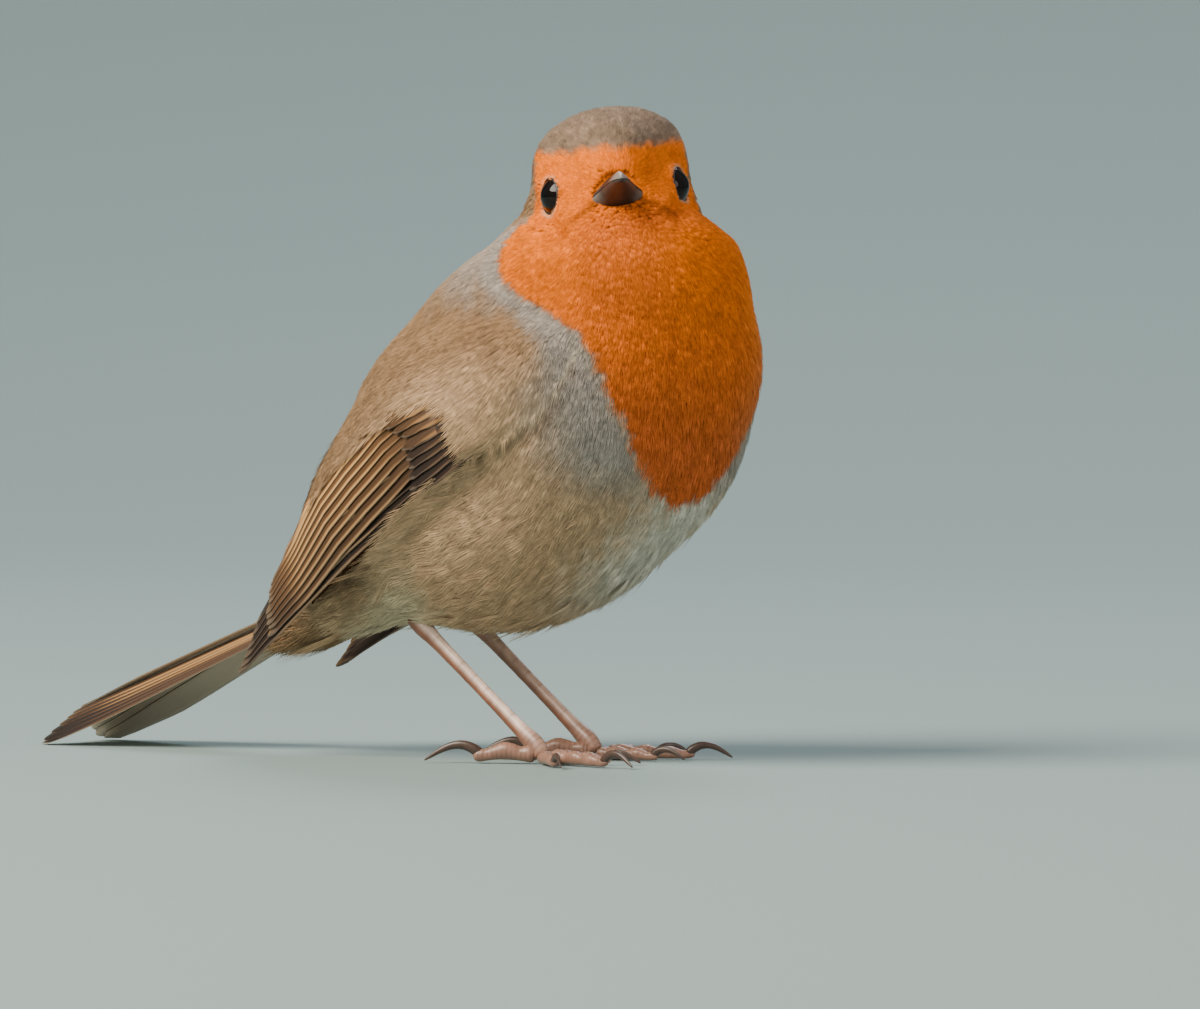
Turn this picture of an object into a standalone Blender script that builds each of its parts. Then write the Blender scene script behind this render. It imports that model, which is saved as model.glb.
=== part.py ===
"""A European robin at life size, standing still on a flat floor with its head turned to its right.

The bird faces +X, its left side is +Y and the floor is z = 0. Sizes are written in millimetres and
turned to metres by MM. Everything is first placed in the bird's own coordinates, whose origin is on
the floor midway between the ankles, and the last step moves it so that the origin is at the middle
of the box's bottom.
"""

from math import cos, pi, radians, sin, sqrt

import bmesh
import bpy
from mathutils import Matrix, Vector

MM = 0.001
GAP = 0.32 * MM  # left between pieces that meet

# Driving dimensions, in millimetres and degrees.
BODY_PITCH = 46.0  # how far the long axis of the trunk rises from the floor
HEAD_CENTRE = (11.8, -3.4, 80.3)  # midway between the eyes
HEAD_YAW = -52.5  # the head is turned to the bird's right
HEAD_PITCH = -9.0  # and its bill is a little above level
HEAD_ROLL = 5.0
EYE_RADIUS = 3.3
EYE_PLACE = (0.2, 7.1, 0.0)  # centre of the left eyeball, from the head's centre
BILL_ROOT = (5.0, 0.0, -1.6)  # where the bill's axis starts inside the face
BILL_RISE = 8.0  # the bill's own slope above the head's, in degrees
BILL_LENGTH = 13.6
BILL_WIDTH = 8.4
BILL_DEPTH = 5.1
ANKLE = (0.3, 6.5, 2.5)  # where the left tarsus meets its toes
HEEL = (-19.2, 6.5, 18.6)
TARSUS_DEPTH, TARSUS_WIDTH = 2.3, 1.7
TAIL_ROOT = (-41.5, 0.0, 21.5)
TAIL_PITCH = 21.2  # below level
TAIL_LENGTH = 50.5
TAIL_HALF_WIDTH = 8.6
TAIL_ROOT_HALF_WIDTH = 4.6
TAIL_NOTCH = 0.06  # how much shorter the middle feathers are, as a share of the length
TAIL_TOOTH = 2.4  # depth of the gap between neighbouring tips
TAIL_ROOF = 4.2  # how far the outer feathers hang below the middle ones
FEATHER_THICKNESS = 0.6

# The soft forms of the body as ellipsoids: centre, half-sizes (along, across, through), pitch.
BODY_FORMS = {
    "neck": ((10.6, -1.0, 64.4), (19.5, 16.0, 20.5), 85.0),
    "shoulders": ((2.7, 0, 53.2), (29.4, 21.5, 23.2), 19.0),
    "breast": ((4.6, 0, 50.9), (25.2, 22.5, 24.2), 60.0),
    "belly": ((-3.7, 0, 42.1), (30.6, 21.5, 22.2), 29.0),
    "back": ((-13.0, 0, 48.0), (22.5, 20.5, 16.7), 48.0),
    "loin": ((-23.0, 0, 38.5), (22.0, 15.5, 12.5), 50.0),
    "rump": ((-30.0, 0, 32.0), (20.0, 13.0, 10.5), 43.0),
    "flanks": ((-16.0, 0, 35.0), (20.0, 20.5, 13.0), 35.0),
    "vent": ((-27.0, 0, 27.3), (16.0, 14.0, 8.0), 26.0),
    "undertail": ((-38.5, 0, 20.8), (14.0, 6.8, 4.6), 22.0),
}
# The same for the head, from its own centre, with x towards the bill and z up.
HEAD_FORMS = {
    "skull": ((-6.0, 0, 1.6), (10.4, 11.4, 9.6), 0.0),
    "crown": ((-5.4, 0, 4.3), (10.2, 11.4, 7.9), 0.0),
    "forehead": ((0.6, 0, 2.8), (7.8, 7.2, 7.4), 0.0),
    "nape": ((-7.0, 0, -5.0), (9.0, 10.5, 10.0), 0.0),
    "face": ((3.4, 0, -0.6), (6.0, 6.2, 6.2), 0.0),
    "lores": ((6.2, 0, -1.6), (3.2, 3.8, 3.4), 0.0),
    "cheek_left": ((-2.0, 4.4, -6.2), (8.4, 6.6, 5.8), 0.0),
    "cheek_right": ((-2.0, -4.4, -6.2), (8.4, 6.6, 5.8), 0.0),
    "chin": ((3.0, 0, -6.6), (6.6, 6.6, 6.0), -20.0),
}
VOXEL = 1.15  # grid on which the soft forms are blended
BLEND_STEPS = 9
FLESH_TRIANGLES = 1820

# Stations of the folded right wing, front to back: centre, half-width, thickness, and how far the
# outer face looks up, in degrees.
WING_STATIONS = {
    "shoulder": ((14.5, -17.4, 61.5), 3.0, 1.6, 12.0),
    "wrist": ((7.5, -20.6, 57.8), 8.2, 2.4, 14.0),
    "coverts": ((-8.8, -21.0, 49.0), 11.0, 2.8, 20.0),
    "secondaries": ((-23.6, -18.8, 36.6), 10.0, 2.4, 26.0),
    "tertial_tips": ((-32.4, -16.2, 27.8), 7.2, 1.9, 28.0),
    "primaries": ((-40.4, -14.2, 20.0), 4.4, 1.4, 27.0),
    "tip": ((-48.6, -12.5, 11.9), 1.1, 0.9, 26.0),
}
WING_CAMBER = 0.30  # bulge of the outer face, as a share of the half-width
WING_CUTS = (0.44, 0.70)  # where coverts end and where only primaries remain

# Toes: flesh length, claw length, claw's rise, and radius at the root.
TOES = {
    "hallux": (8.0, 7.4, 1.9, 1.22),
    "inner": (8.8, 4.6, 1.2, 0.88),
    "middle": (12.8, 5.6, 1.5, 0.98),
    "outer": (9.4, 4.6, 1.2, 0.88),
}
# Where each toe points, in degrees from +X towards +Y.
TOE_BEARINGS = {
    "left": {"hallux": 206.0, "inner": 6.0, "middle": 33.0, "outer": 60.0},
    "right": {"hallux": 205.0, "inner": 18.0, "middle": -14.0, "outer": -44.0},
}

# Colours in linear light, with roughness.
COLOURS = {
    "rust_plumage": ((0.66, 0.17, 0.030), 0.85),
    "brown_plumage": ((0.20, 0.145, 0.090), 0.85),
    "buff_plumage": ((0.38, 0.30, 0.19), 0.85),
    "flight_feathers": ((0.085, 0.055, 0.034), 0.6),
    "bill_horn": ((0.055, 0.040, 0.034), 0.35),
    "eye": ((0.006, 0.004, 0.003), 0.05),
    "leg_scales": ((0.36, 0.20, 0.15), 0.45),
    "claw_horn": ((0.045, 0.032, 0.028), 0.35),
}

NODES = bpy.data.collections.new("robin")
CUTTERS = bpy.data.collections.new("cutters")


def clear_scene():
    for old in list(bpy.data.objects):
        bpy.data.objects.remove(old)
    for collection in (NODES, CUTTERS):
        bpy.context.scene.collection.children.link(collection)
    CUTTERS.hide_render = True


def frame_empty(name, matrix, parent=None):
    """An empty that carries the pieces parented to it."""
    empty = bpy.data.objects.new(name, None)
    NODES.objects.link(empty)
    empty.empty_display_size = 0.01
    empty.parent = parent
    empty.matrix_basis = matrix
    return empty


def metres(point):
    return Vector(point) * MM


def material(name):
    made = bpy.data.materials.get(name)
    if made is None:
        made = bpy.data.materials.new(name)
        made.use_nodes = True
        shader = made.node_tree.nodes["Principled BSDF"]
        colour, roughness = COLOURS[name]
        shader.inputs["Base Color"].default_value = (*colour, 1)
        shader.inputs["Roughness"].default_value = roughness
        shader.inputs["Metallic"].default_value = 0.0
        made.diffuse_color = (*colour, 1)
    return made


def mesh_object(name, bm, finish=None, collection=None):
    """Closes a bmesh into a new smooth-shaded object."""
    mesh = bpy.data.meshes.new(name)
    bm.to_mesh(mesh)
    bm.free()
    made = bpy.data.objects.new(name, mesh)
    (collection or NODES).objects.link(made)
    if finish:
        mesh.materials.append(material(finish))
    mesh.shade_smooth()
    return made


def bake_modifiers(made):
    """Replaces the object's mesh by what its modifiers make of it."""
    bpy.context.view_layer.update()
    graph = bpy.context.evaluated_depsgraph_get()
    mesh = bpy.data.meshes.new_from_object(made.evaluated_get(graph))
    made.modifiers.clear()
    made.data = mesh
    return made


def bmesh_of(made):
    bm = bmesh.new()
    bm.from_mesh(made.data)
    return bm


def smooth_step(low, high, value):
    share = min(1.0, max(0.0, (value - low) / (high - low)))
    return share * share * (3 - 2 * share)


def through(points, share):
    """Point at a share of the way along a Catmull-Rom curve through the given vectors or numbers."""
    last = len(points) - 1
    place = min(max(share, 0.0), 1.0) * last
    i = min(int(place), last - 1)
    t = place - i
    before, start = points[max(i - 1, 0)], points[i]
    end, after = points[i + 1], points[min(i + 2, last)]
    return (
        start * 2
        + (end - before) * t
        + (before * 2 - start * 5 + end * 4 - after) * t**2
        + (start * 3 - before - end * 3 + after) * t**3
    ) * 0.5


def boolean(made, other, operation="DIFFERENCE"):
    modifier = made.modifiers.new(operation.title(), "BOOLEAN")
    modifier.operation = operation
    modifier.solver = "EXACT"
    modifier.object = other
    return bake_modifiers(made)


def grown(made, by):
    """A copy pushed out along its normals, to cut a pocket with some air round it."""
    bm = bmesh_of(made)
    bmesh.ops.remove_doubles(bm, verts=bm.verts, dist=1e-6)
    bm.normal_update()
    bmesh.ops.triangulate(bm, faces=bm.faces)
    moves = {v: v.normal * (by * v.calc_shell_factor()) for v in bm.verts}
    for vertex, move in moves.items():
        vertex.co += move
    cutter = mesh_object(made.name + "_cutter", bm, collection=CUTTERS)
    bpy.context.view_layer.update()
    cutter.matrix_world = made.matrix_world
    cutter.display_type = "WIRE"
    cutter.hide_render = True
    return cutter


def largest_piece(made):
    """Drops the crumbs that cutting leaves beside the main body."""
    bm = bmesh_of(made)
    bmesh.ops.remove_doubles(bm, verts=bm.verts, dist=1e-6)
    left, pieces = set(bm.verts), []
    while left:
        start = left.pop()
        piece, edge = {start}, [start]
        while edge:
            vertex = edge.pop()
            near = {e.other_vert(vertex) for e in vertex.link_edges} - piece
            piece |= near
            edge.extend(near)
        left -= piece
        pieces.append(piece)
    pieces.sort(key=len)
    bmesh.ops.delete(bm, geom=[v for piece in pieces[:-1] for v in piece], context="VERTS")
    bmesh.ops.triangulate(bm, faces=bm.faces)
    bm.to_mesh(made.data)
    bm.free()
    return made


def half(made, point, normal):
    """Keeps the side of a closed object that the normal points to, by cutting with a large block."""
    size = 0.3
    direction = Vector(normal).normalized()
    turn = direction.to_track_quat("Z", "Y").to_matrix().to_4x4()
    place = Matrix.Translation(Vector(point) - direction * (size / 2)) @ turn
    bm = bmesh.new()
    bmesh.ops.create_cube(bm, size=size, matrix=place)
    block = mesh_object("block", bm, collection=CUTTERS)
    boolean(made, block)
    bpy.data.objects.remove(block)
    return made


# ---------------------------------------------------------------- flesh


def head_matrix():
    turn = (
        Matrix.Rotation(radians(HEAD_YAW), 4, "Z")
        @ Matrix.Rotation(radians(HEAD_PITCH), 4, "Y")
        @ Matrix.Rotation(radians(HEAD_ROLL), 4, "X")
    )
    return Matrix.Translation(metres(HEAD_CENTRE)) @ turn


def add_form(bm, centre, half_sizes, pitch, carrier):
    place = (
        carrier
        @ Matrix.Translation(metres(centre))
        @ Matrix.Rotation(radians(-pitch), 4, "Y")
        @ Matrix.Diagonal((*(metres(half_sizes)), 1))
    )
    bmesh.ops.create_icosphere(bm, subdivisions=4, radius=1, matrix=place)


def blended_flesh():
    """The whole body under its plumage outline, as one closed surface."""
    bm = bmesh.new()
    for centre, half_sizes, pitch in BODY_FORMS.values():
        add_form(bm, centre, half_sizes, pitch, Matrix.Identity(4))
    for centre, half_sizes, pitch in HEAD_FORMS.values():
        add_form(bm, centre, half_sizes, pitch, head_matrix())
    flesh = mesh_object("flesh", bm, "brown_plumage", CUTTERS)
    remesh = flesh.modifiers.new("Blend", "REMESH")
    remesh.mode = "VOXEL"
    remesh.voxel_size = VOXEL * MM
    relax = flesh.modifiers.new("Relax", "SMOOTH")
    relax.factor = 0.5
    relax.iterations = BLEND_STEPS
    bake_modifiers(flesh)
    flesh.data.calc_loop_triangles()
    thin = flesh.modifiers.new("Thin", "DECIMATE")
    thin.ratio = FLESH_TRIANGLES / len(flesh.data.loop_triangles)
    bake_modifiers(flesh)
    return flesh


def slice_of(flesh, name, finish, planes):
    """One named piece of the flesh: what lies on the far side of each plane, less half a gap."""
    bm = bmesh_of(flesh)
    piece = mesh_object(name, bm, finish)
    for point, normal in planes:
        direction = Vector(normal).normalized()
        half(piece, metres(point) + direction * (GAP / 2), direction)
    piece.data.materials.clear()
    piece.data.materials.append(material(finish))
    piece.data.shade_smooth()
    return piece


def part_flesh(flesh):
    """Head, neck, breast, belly, back and rump, parted by flat cuts."""
    under_head = (11.0, -3.0, 70.8), (0.10, -0.12, 1.0)
    over_breast = (5.0, 0, 62.5), (0.45, 0, 0.9)
    behind_breast = (6.0, 0, 46.0), (0.94, 0, 0.34)
    under_back = (-14.0, 0, 46.0), (-0.62, 0, 0.78)
    before_rump = (-29.0, 0, 28.0), (-0.78, 0, -0.62)

    def other(plane):
        return plane[0], tuple(-x for x in plane[1])

    slice_of(flesh, "head", "rust_plumage", [under_head])
    slice_of(flesh, "neck", "rust_plumage", [other(under_head), over_breast])
    trunk = [other(over_breast)]
    slice_of(flesh, "breast", "rust_plumage", [*trunk, behind_breast])
    trunk.append(other(behind_breast))
    slice_of(flesh, "rump", "brown_plumage", [*trunk, before_rump])
    trunk.append(other(before_rump))
    slice_of(flesh, "back", "brown_plumage", [*trunk, under_back])
    slice_of(flesh, "belly", "buff_plumage", [*trunk, other(under_back)])


# ---------------------------------------------------------------- wings


def wing_frame(share):
    """Centre, run, across and outward directions, half-width and thickness at a share of the wing."""
    stations = list(WING_STATIONS.values())
    centres = [metres(s[0]) for s in stations]
    centre = through(centres, share)
    run = (through(centres, share + 0.01) - through(centres, share - 0.01)).normalized()
    lean = radians(through([s[3] for s in stations], share))
    outward = Vector((0, -cos(lean), sin(lean)))
    outward = (outward - run * outward.dot(run)).normalized()
    across = run.cross(outward).normalized()
    if across.z < 0:
        across.negate()
    half_width = through([s[1] for s in stations], share) * MM
    thickness = through([s[2] for s in stations], share) * MM
    return centre, across, outward, half_width, thickness


def wing_surface(share, side, margin=0.0):
    """Point on the wing's outer face: side runs from -1 at the lower edge to 1 at the upper."""
    centre, across, outward, half_width, _ = wing_frame(share)
    run = across.cross(outward)
    if run.x > 0:
        run.negate()
    bulge = WING_CAMBER * half_width * (1 - side * side) - 0.6 * MM
    ends = run * (margin * (2 * share - 1))
    return centre + ends + across * (side * (half_width + margin)) + outward * bulge


def build_right_wing(name="wing_right", margin=0.0, raised=0.0):
    """The folded wing as a cambered plate with a round front, thinner towards its tip.

    With a margin it makes the pocket that the wing lies in, drawn outwards so that no thin flesh is
    left over the wing.
    """
    along, across = 16, 5
    bm = bmesh.new()
    bmesh.ops.create_grid(bm, x_segments=along, y_segments=across, size=0.5)
    for vertex in bm.verts:
        share, side = vertex.co.x + 0.5, 2 * vertex.co.y
        # The grid's square front end is rounded into the shield of the wrist.
        round_front = 1 - sqrt(max(0.0, 1 - side * side * 0.98))
        share = max(share, 0.0) * (1 - 0.10 * round_front) + 0.10 * round_front
        vertex.co = wing_surface(share, side, margin)
    bmesh.ops.triangulate(bm, faces=bm.faces, quad_method="FIXED")
    bm.normal_update()
    wing = mesh_object(name, bm, "flight_feathers", CUTTERS)
    if wing.data.polygons[0].normal.y > 0:
        wing.data.flip_normals()
    group = wing.vertex_groups.new(name="thickness")
    deeper = margin + raised
    thickest = max(s[2] for s in WING_STATIONS.values()) * MM + deeper
    ends = [metres(s[0]) for s in WING_STATIONS.values()]
    for vertex in wing.data.vertices:
        run = (vertex.co - ends[0]).dot(ends[-1] - ends[0]) / (ends[-1] - ends[0]).length_squared
        thickness = max(wing_frame(run)[4], 0.8 * MM) + deeper
        group.add([vertex.index], thickness / thickest, "REPLACE")
    solid = wing.modifiers.new("Solid", "SOLIDIFY")
    solid.thickness = thickest
    solid.offset = -1 + 2 * raised / thickest
    solid.vertex_group = "thickness"
    solid.thickness_vertex_group = 0.0
    return bake_modifiers(wing)


def mirrored(made, name):
    bm = bmesh_of(made)
    bmesh.ops.scale(bm, vec=(1, -1, 1), verts=bm.verts)
    bmesh.ops.reverse_faces(bm, faces=bm.faces)
    return mesh_object(name, bm, made.data.materials[0].name, CUTTERS)


def part_wing(wing, side):
    """Coverts, secondaries and primaries, parted across the wing."""
    flip = -1 if side == "left" else 1
    bounds = []
    for share in WING_CUTS:
        centre = wing_frame(share)[0].copy()
        ahead, behind = wing_frame(share - 0.01)[0], wing_frame(share + 0.01)[0]
        run = (behind - ahead).normalized() + Vector((-0.25, 0, 0.25))
        bounds.append((Vector((centre.x, centre.y * flip, centre.z)), Vector((run.x, run.y * flip, run.z))))
    names = ("coverts", "secondaries", "primaries")
    finishes = ("brown_plumage", "flight_feathers", "flight_feathers")
    for i, (name, finish) in enumerate(zip(names, finishes, strict=True)):
        piece = mesh_object(f"wing_{side}_{name}", bmesh_of(wing), finish)
        if i > 0:
            point, run = bounds[i - 1]
            half(piece, point + run.normalized() * (GAP / 2), run.normalized())
        if i < 2:
            point, run = bounds[i]
            half(piece, point - run.normalized() * (GAP / 2), -run.normalized())
        piece.data.materials.clear()
        piece.data.materials.append(material(finish))


# ---------------------------------------------------------------- tail


def tail_matrix():
    return Matrix.Translation(metres(TAIL_ROOT)) @ Matrix.Rotation(radians(180), 4, "Z") @ Matrix.Rotation(
        radians(TAIL_PITCH), 4, "Y"
    )


def build_tail():
    """Feathers side by side in one low roof, the outer ones longest, each with a blunt point."""
    feathers, columns = 8, 3
    bm = bmesh.new()
    bmesh.ops.create_grid(bm, x_segments=5, y_segments=feathers * columns, size=0.5)
    for vertex in bm.verts:
        share, side = vertex.co.x + 0.5, 2 * vertex.co.y
        half_width = TAIL_ROOT_HALF_WIDTH
        half_width += (TAIL_HALF_WIDTH - TAIL_ROOT_HALF_WIDTH) * smooth_step(0.0, 0.8, share)
        middle = 1 - abs(2 * (((side + 1) * feathers / 2) % 1) - 1)
        length = TAIL_LENGTH * (1 - TAIL_NOTCH * (1 - smooth_step(0.0, 0.8, abs(side))))
        length -= TAIL_TOOTH * (1 - middle) ** 1.5 * share + 1.5 * max(0.0, abs(side) - 0.9) * 10
        drop = TAIL_ROOF * abs(side) ** 1.2 * half_width / TAIL_HALF_WIDTH
        vertex.co = metres((share * length, side * half_width, 0.22 * middle * share - drop))
    bmesh.ops.triangulate(bm, faces=bm.faces, quad_method="FIXED")
    bm.normal_update()
    tail = mesh_object("tail", bm, "flight_feathers")
    solid = tail.modifiers.new("Solid", "SOLIDIFY")
    solid.thickness = FEATHER_THICKNESS * MM
    solid.offset = 0
    bake_modifiers(tail)
    tail.data.transform(tail_matrix())
    return on_floor(tail)


# ---------------------------------------------------------------- head's hard parts


def build_eye(side, head_pose):
    x, y, z = EYE_PLACE
    bm = bmesh.new()
    bmesh.ops.create_uvsphere(bm, u_segments=14, v_segments=9, radius=EYE_RADIUS * MM)
    eye = mesh_object(f"eye_{side}", bm, "eye")
    eye.parent = head_pose
    eye.location = metres((x, y if side == "left" else -y, z))
    return eye


def bill_radii(share):
    """Half-width, height above and depth below the mouth line at a share of the bill's length."""
    taper = (1 - share) ** 0.82
    blunt = 0.11
    half_width = BILL_WIDTH / 2 * (taper * (1 - 0.25 * sin(pi * share)) + blunt * 0.5)
    above = BILL_DEPTH * 0.55 * (taper**0.8 * (1 - 0.10 * sin(pi * share)) + blunt)
    below = BILL_DEPTH * 0.45 * (taper**0.9 * (1 - 0.12 * sin(pi * share)) + blunt)
    return half_width, above, below


def build_bill(head_pose):
    """A slender bill with a straight mouth line and a tip that turns down, split along the mouth."""
    rings, sides = 8, 14
    bm = bmesh.new()
    upright = Matrix.Translation((0, 0, 0.5))
    bmesh.ops.create_cone(bm, cap_ends=True, segments=sides, radius1=1, radius2=1, depth=1, matrix=upright)
    sleeve = [e for e in bm.edges if abs(e.verts[0].co.z - e.verts[1].co.z) > 0.5]
    bmesh.ops.subdivide_edges(bm, edges=sleeve, cuts=rings - 2, use_grid_fill=True)
    for vertex in bm.verts:
        side, up, share = vertex.co
        half_width, above, below = bill_radii(share)
        height = up * (above if up > 0 else below) - 0.6 * share**3
        # The culmen is a ridge, so the upper half narrows towards it.
        half_width *= 1 - 0.45 * max(0.0, up)
        vertex.co = metres((share * BILL_LENGTH, side * half_width, height))
    bmesh.ops.recalc_face_normals(bm, faces=bm.faces)
    whole = mesh_object("bill", bm, "bill_horn", CUTTERS)
    # The mouth line drops a little towards the tip, which belongs to the upper half.
    mouth = Vector((0, 0, -0.1 * MM))
    for name, up in (("bill_upper", 1), ("bill_lower", -1)):
        piece = mesh_object(name, bmesh_of(whole), "bill_horn")
        half(piece, mouth + Vector((0, 0, up * GAP / 2)), (up * 0.06, 0, up))
        piece.parent = head_pose
        piece.location = metres(BILL_ROOT)
        piece.rotation_euler = (0, radians(-BILL_RISE), 0)
    whole.parent = head_pose
    whole.location = metres(BILL_ROOT)
    whole.rotation_euler = (0, radians(-BILL_RISE), 0)
    return whole


# ---------------------------------------------------------------- legs


def tube(name, finish, points, radii, flatten=1.0, sides=2):
    """A closed tube through points, each with its own radius, made a mesh with welded caps."""
    curve = bpy.data.curves.new(name, "CURVE")
    curve.dimensions = "3D"
    curve.bevel_depth = MM
    curve.bevel_resolution = sides
    curve.use_fill_caps = True
    spline = curve.splines.new("POLY")
    spline.points.add(len(points) - 1)
    for knot, point, radius in zip(spline.points, points, radii, strict=True):
        knot.co = (*point, 1)
        knot.radius = radius
    source = bpy.data.objects.new(name + "_curve", curve)
    CUTTERS.objects.link(source)
    bpy.context.view_layer.update()
    graph = bpy.context.evaluated_depsgraph_get()
    mesh = bpy.data.meshes.new_from_object(source.evaluated_get(graph))
    bpy.data.objects.remove(source)
    bm = bmesh.new()
    bm.from_mesh(mesh)
    bpy.data.meshes.remove(mesh)
    bmesh.ops.remove_doubles(bm, verts=bm.verts, dist=1e-6)
    if flatten != 1.0:
        bmesh.ops.scale(bm, vec=(1, flatten, 1), verts=bm.verts, space=Matrix.Translation(-points[0]))
    return mesh_object(name, bm, finish)


def on_floor(made):
    """Flattens what would go through the floor into a small sole."""
    for vertex in made.data.vertices:
        vertex.co.z = max(vertex.co.z, 0.0)
    return made


def build_leg(side):
    flip = 1 if side == "left" else -1
    ankle = metres((ANKLE[0], ANKLE[1] * flip, ANKLE[2]))
    heel = metres((HEEL[0], HEEL[1] * flip, HEEL[2]))
    steps = 7
    points = [ankle.lerp(heel, i / (steps - 1)) for i in range(steps)]
    swell = {0: 1.30, 1: 1.04, steps - 2: 1.08, steps - 1: 1.30}
    radii = [TARSUS_DEPTH / 2 * swell.get(i, 0.92) for i in range(steps)]
    # The shank goes on into the pad that the toes grow from.
    points = [ankle + metres((1.3, 0, -2.0)), *points]
    radii = [1.45, *radii]
    tarsus = on_floor(tube(f"tarsus_{side}", "leg_scales", points, radii, TARSUS_WIDTH / TARSUS_DEPTH))
    build_toes(side, ankle + metres((0.9, 0, 0)), tarsus)
    # The feathered thigh shows only as a short collar between the belly and the heel.
    start, knee = heel + metres((0.3, 0, 0.2)), heel + metres((5.6, 0.8 * flip, 8.0))
    steps = 5
    points = [start.lerp(knee, i / (steps - 1)) for i in range(steps)]
    radii = [1.9 + 2.6 * smooth_step(-0.1, 0.9, i / (steps - 1)) for i in range(steps)]
    thigh = tube(f"thigh_{side}", "buff_plumage", points, radii)
    return tarsus, thigh


def build_toes(side, middle, tarsus):
    """Four toes lying flat, each a padded tube, and a hooked claw on each."""
    start = Vector((middle.x, middle.y, 0))
    neighbours = [grown(tarsus, GAP)]
    for name in ("middle", "hallux", "inner", "outer"):
        length, claw, rise, radius = TOES[name]
        angle = radians(TOE_BEARINGS[side][name])
        run = Vector((cos(angle), sin(angle), 0))
        arch = 0.55 if name == "hallux" else 0.15
        steps = 6
        points, radii = [], []
        for i in range(steps):
            share = i / (steps - 1)
            thick = radius * (1 - 0.20 * share) * (1 + 0.08 * cos(2 * 2 * pi * share))
            height = thick * 0.86 + arch * sin(pi * share)
            points.append(start + run * (0.6 + share * (length + 1.3)) * MM + Vector((0, 0, height * MM)))
            radii.append(thick)
        toe = on_floor(tube(f"toe_{side}_{name}", "leg_scales", points, radii))
        build_claw(f"claw_{side}_{name}", points[-1], run, claw, rise, radii[-1])
        round_toe = grown(toe, GAP)
        for other in neighbours:
            boolean(toe, other)
        largest_piece(toe)
        if name == "middle":
            neighbours.append(round_toe)


def build_claw(name, root, run, length, rise, radius):
    """A tapering hook that leaves the toe, arches and comes down to the floor."""
    steps = 6
    start = root + run * (radius * 0.4 * MM + GAP)
    points, radii = [], []
    for i in range(steps):
        share = i / (steps - 1)
        fall = share * (root.z / MM - 0.16)
        height = rise * sin(pi * share**0.8) - fall
        points.append(start + run * (share * length * 0.94 * MM) + Vector((0, 0, height * MM)))
        radii.append(radius * 0.74 * (1 - share) ** 0.8 + 0.18)
    return on_floor(tube(name, "claw_horn", points, radii, sides=1))


# ---------------------------------------------------------------- the whole bird


def box_shift():
    """The move that brings the middle of the whole box's bottom to the origin."""
    bpy.context.view_layer.update()
    meshes = [made for made in NODES.objects if made.type == "MESH"]
    corners = [made.matrix_world @ v.co for made in meshes for v in made.data.vertices]
    low = Vector([min(c[i] for c in corners) for i in range(3)])
    high = Vector([max(c[i] for c in corners) for i in range(3)])
    return Vector((-(low.x + high.x) / 2, -(low.y + high.y) / 2, -low.z))


def build_robin():
    clear_scene()
    bird = frame_empty("bird", Matrix.Identity(4))
    head_pose = frame_empty("head_pose", head_matrix(), bird)
    wing_right = build_right_wing()
    wing_left = mirrored(wing_right, "wing_left")
    tail = build_tail()
    eyes = [build_eye(side, head_pose) for side in ("left", "right")]
    bill = build_bill(head_pose)
    legs = [piece for side in ("left", "right") for piece in build_leg(side)]
    flesh = blended_flesh()
    pocket_right = build_right_wing("wing_right_pocket", 1.3 * GAP, 1.9 * MM)
    for pocket in (pocket_right, mirrored(pocket_right, "wing_left_pocket")):
        boolean(flesh, pocket)
    for piece in (bill, tail, *eyes, *legs):
        boolean(flesh, grown(piece, GAP))
    largest_piece(flesh)
    part_flesh(flesh)
    part_wing(wing_right, "right")
    part_wing(wing_left, "left")
    for side in ("left", "right"):
        tarsus, thigh = bpy.data.objects[f"tarsus_{side}"], bpy.data.objects[f"thigh_{side}"]
        boolean(thigh, grown(tarsus, GAP))
    for made in NODES.objects:
        if made.type == "MESH" and made.parent is None:
            made.parent = bird
    bird.location = box_shift()


build_robin()
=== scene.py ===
# %% [markdown]
# # A robin in its feathers
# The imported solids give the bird's true outline and the place of every part. Each step below makes
# one kind of surface over them: bare skin, soft body feathers, wing and tail feathers, eyes, bill,
# legs and claws. Everything is measured from the solids, so nothing has to be fitted by hand.

# %% Load the solids
from math import cos, pi, radians, sin

import bmesh
import bpy
import numpy as np
from mathutils import Matrix, Vector
from mathutils.bvhtree import BVHTree
from mathutils.kdtree import KDTree


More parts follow.
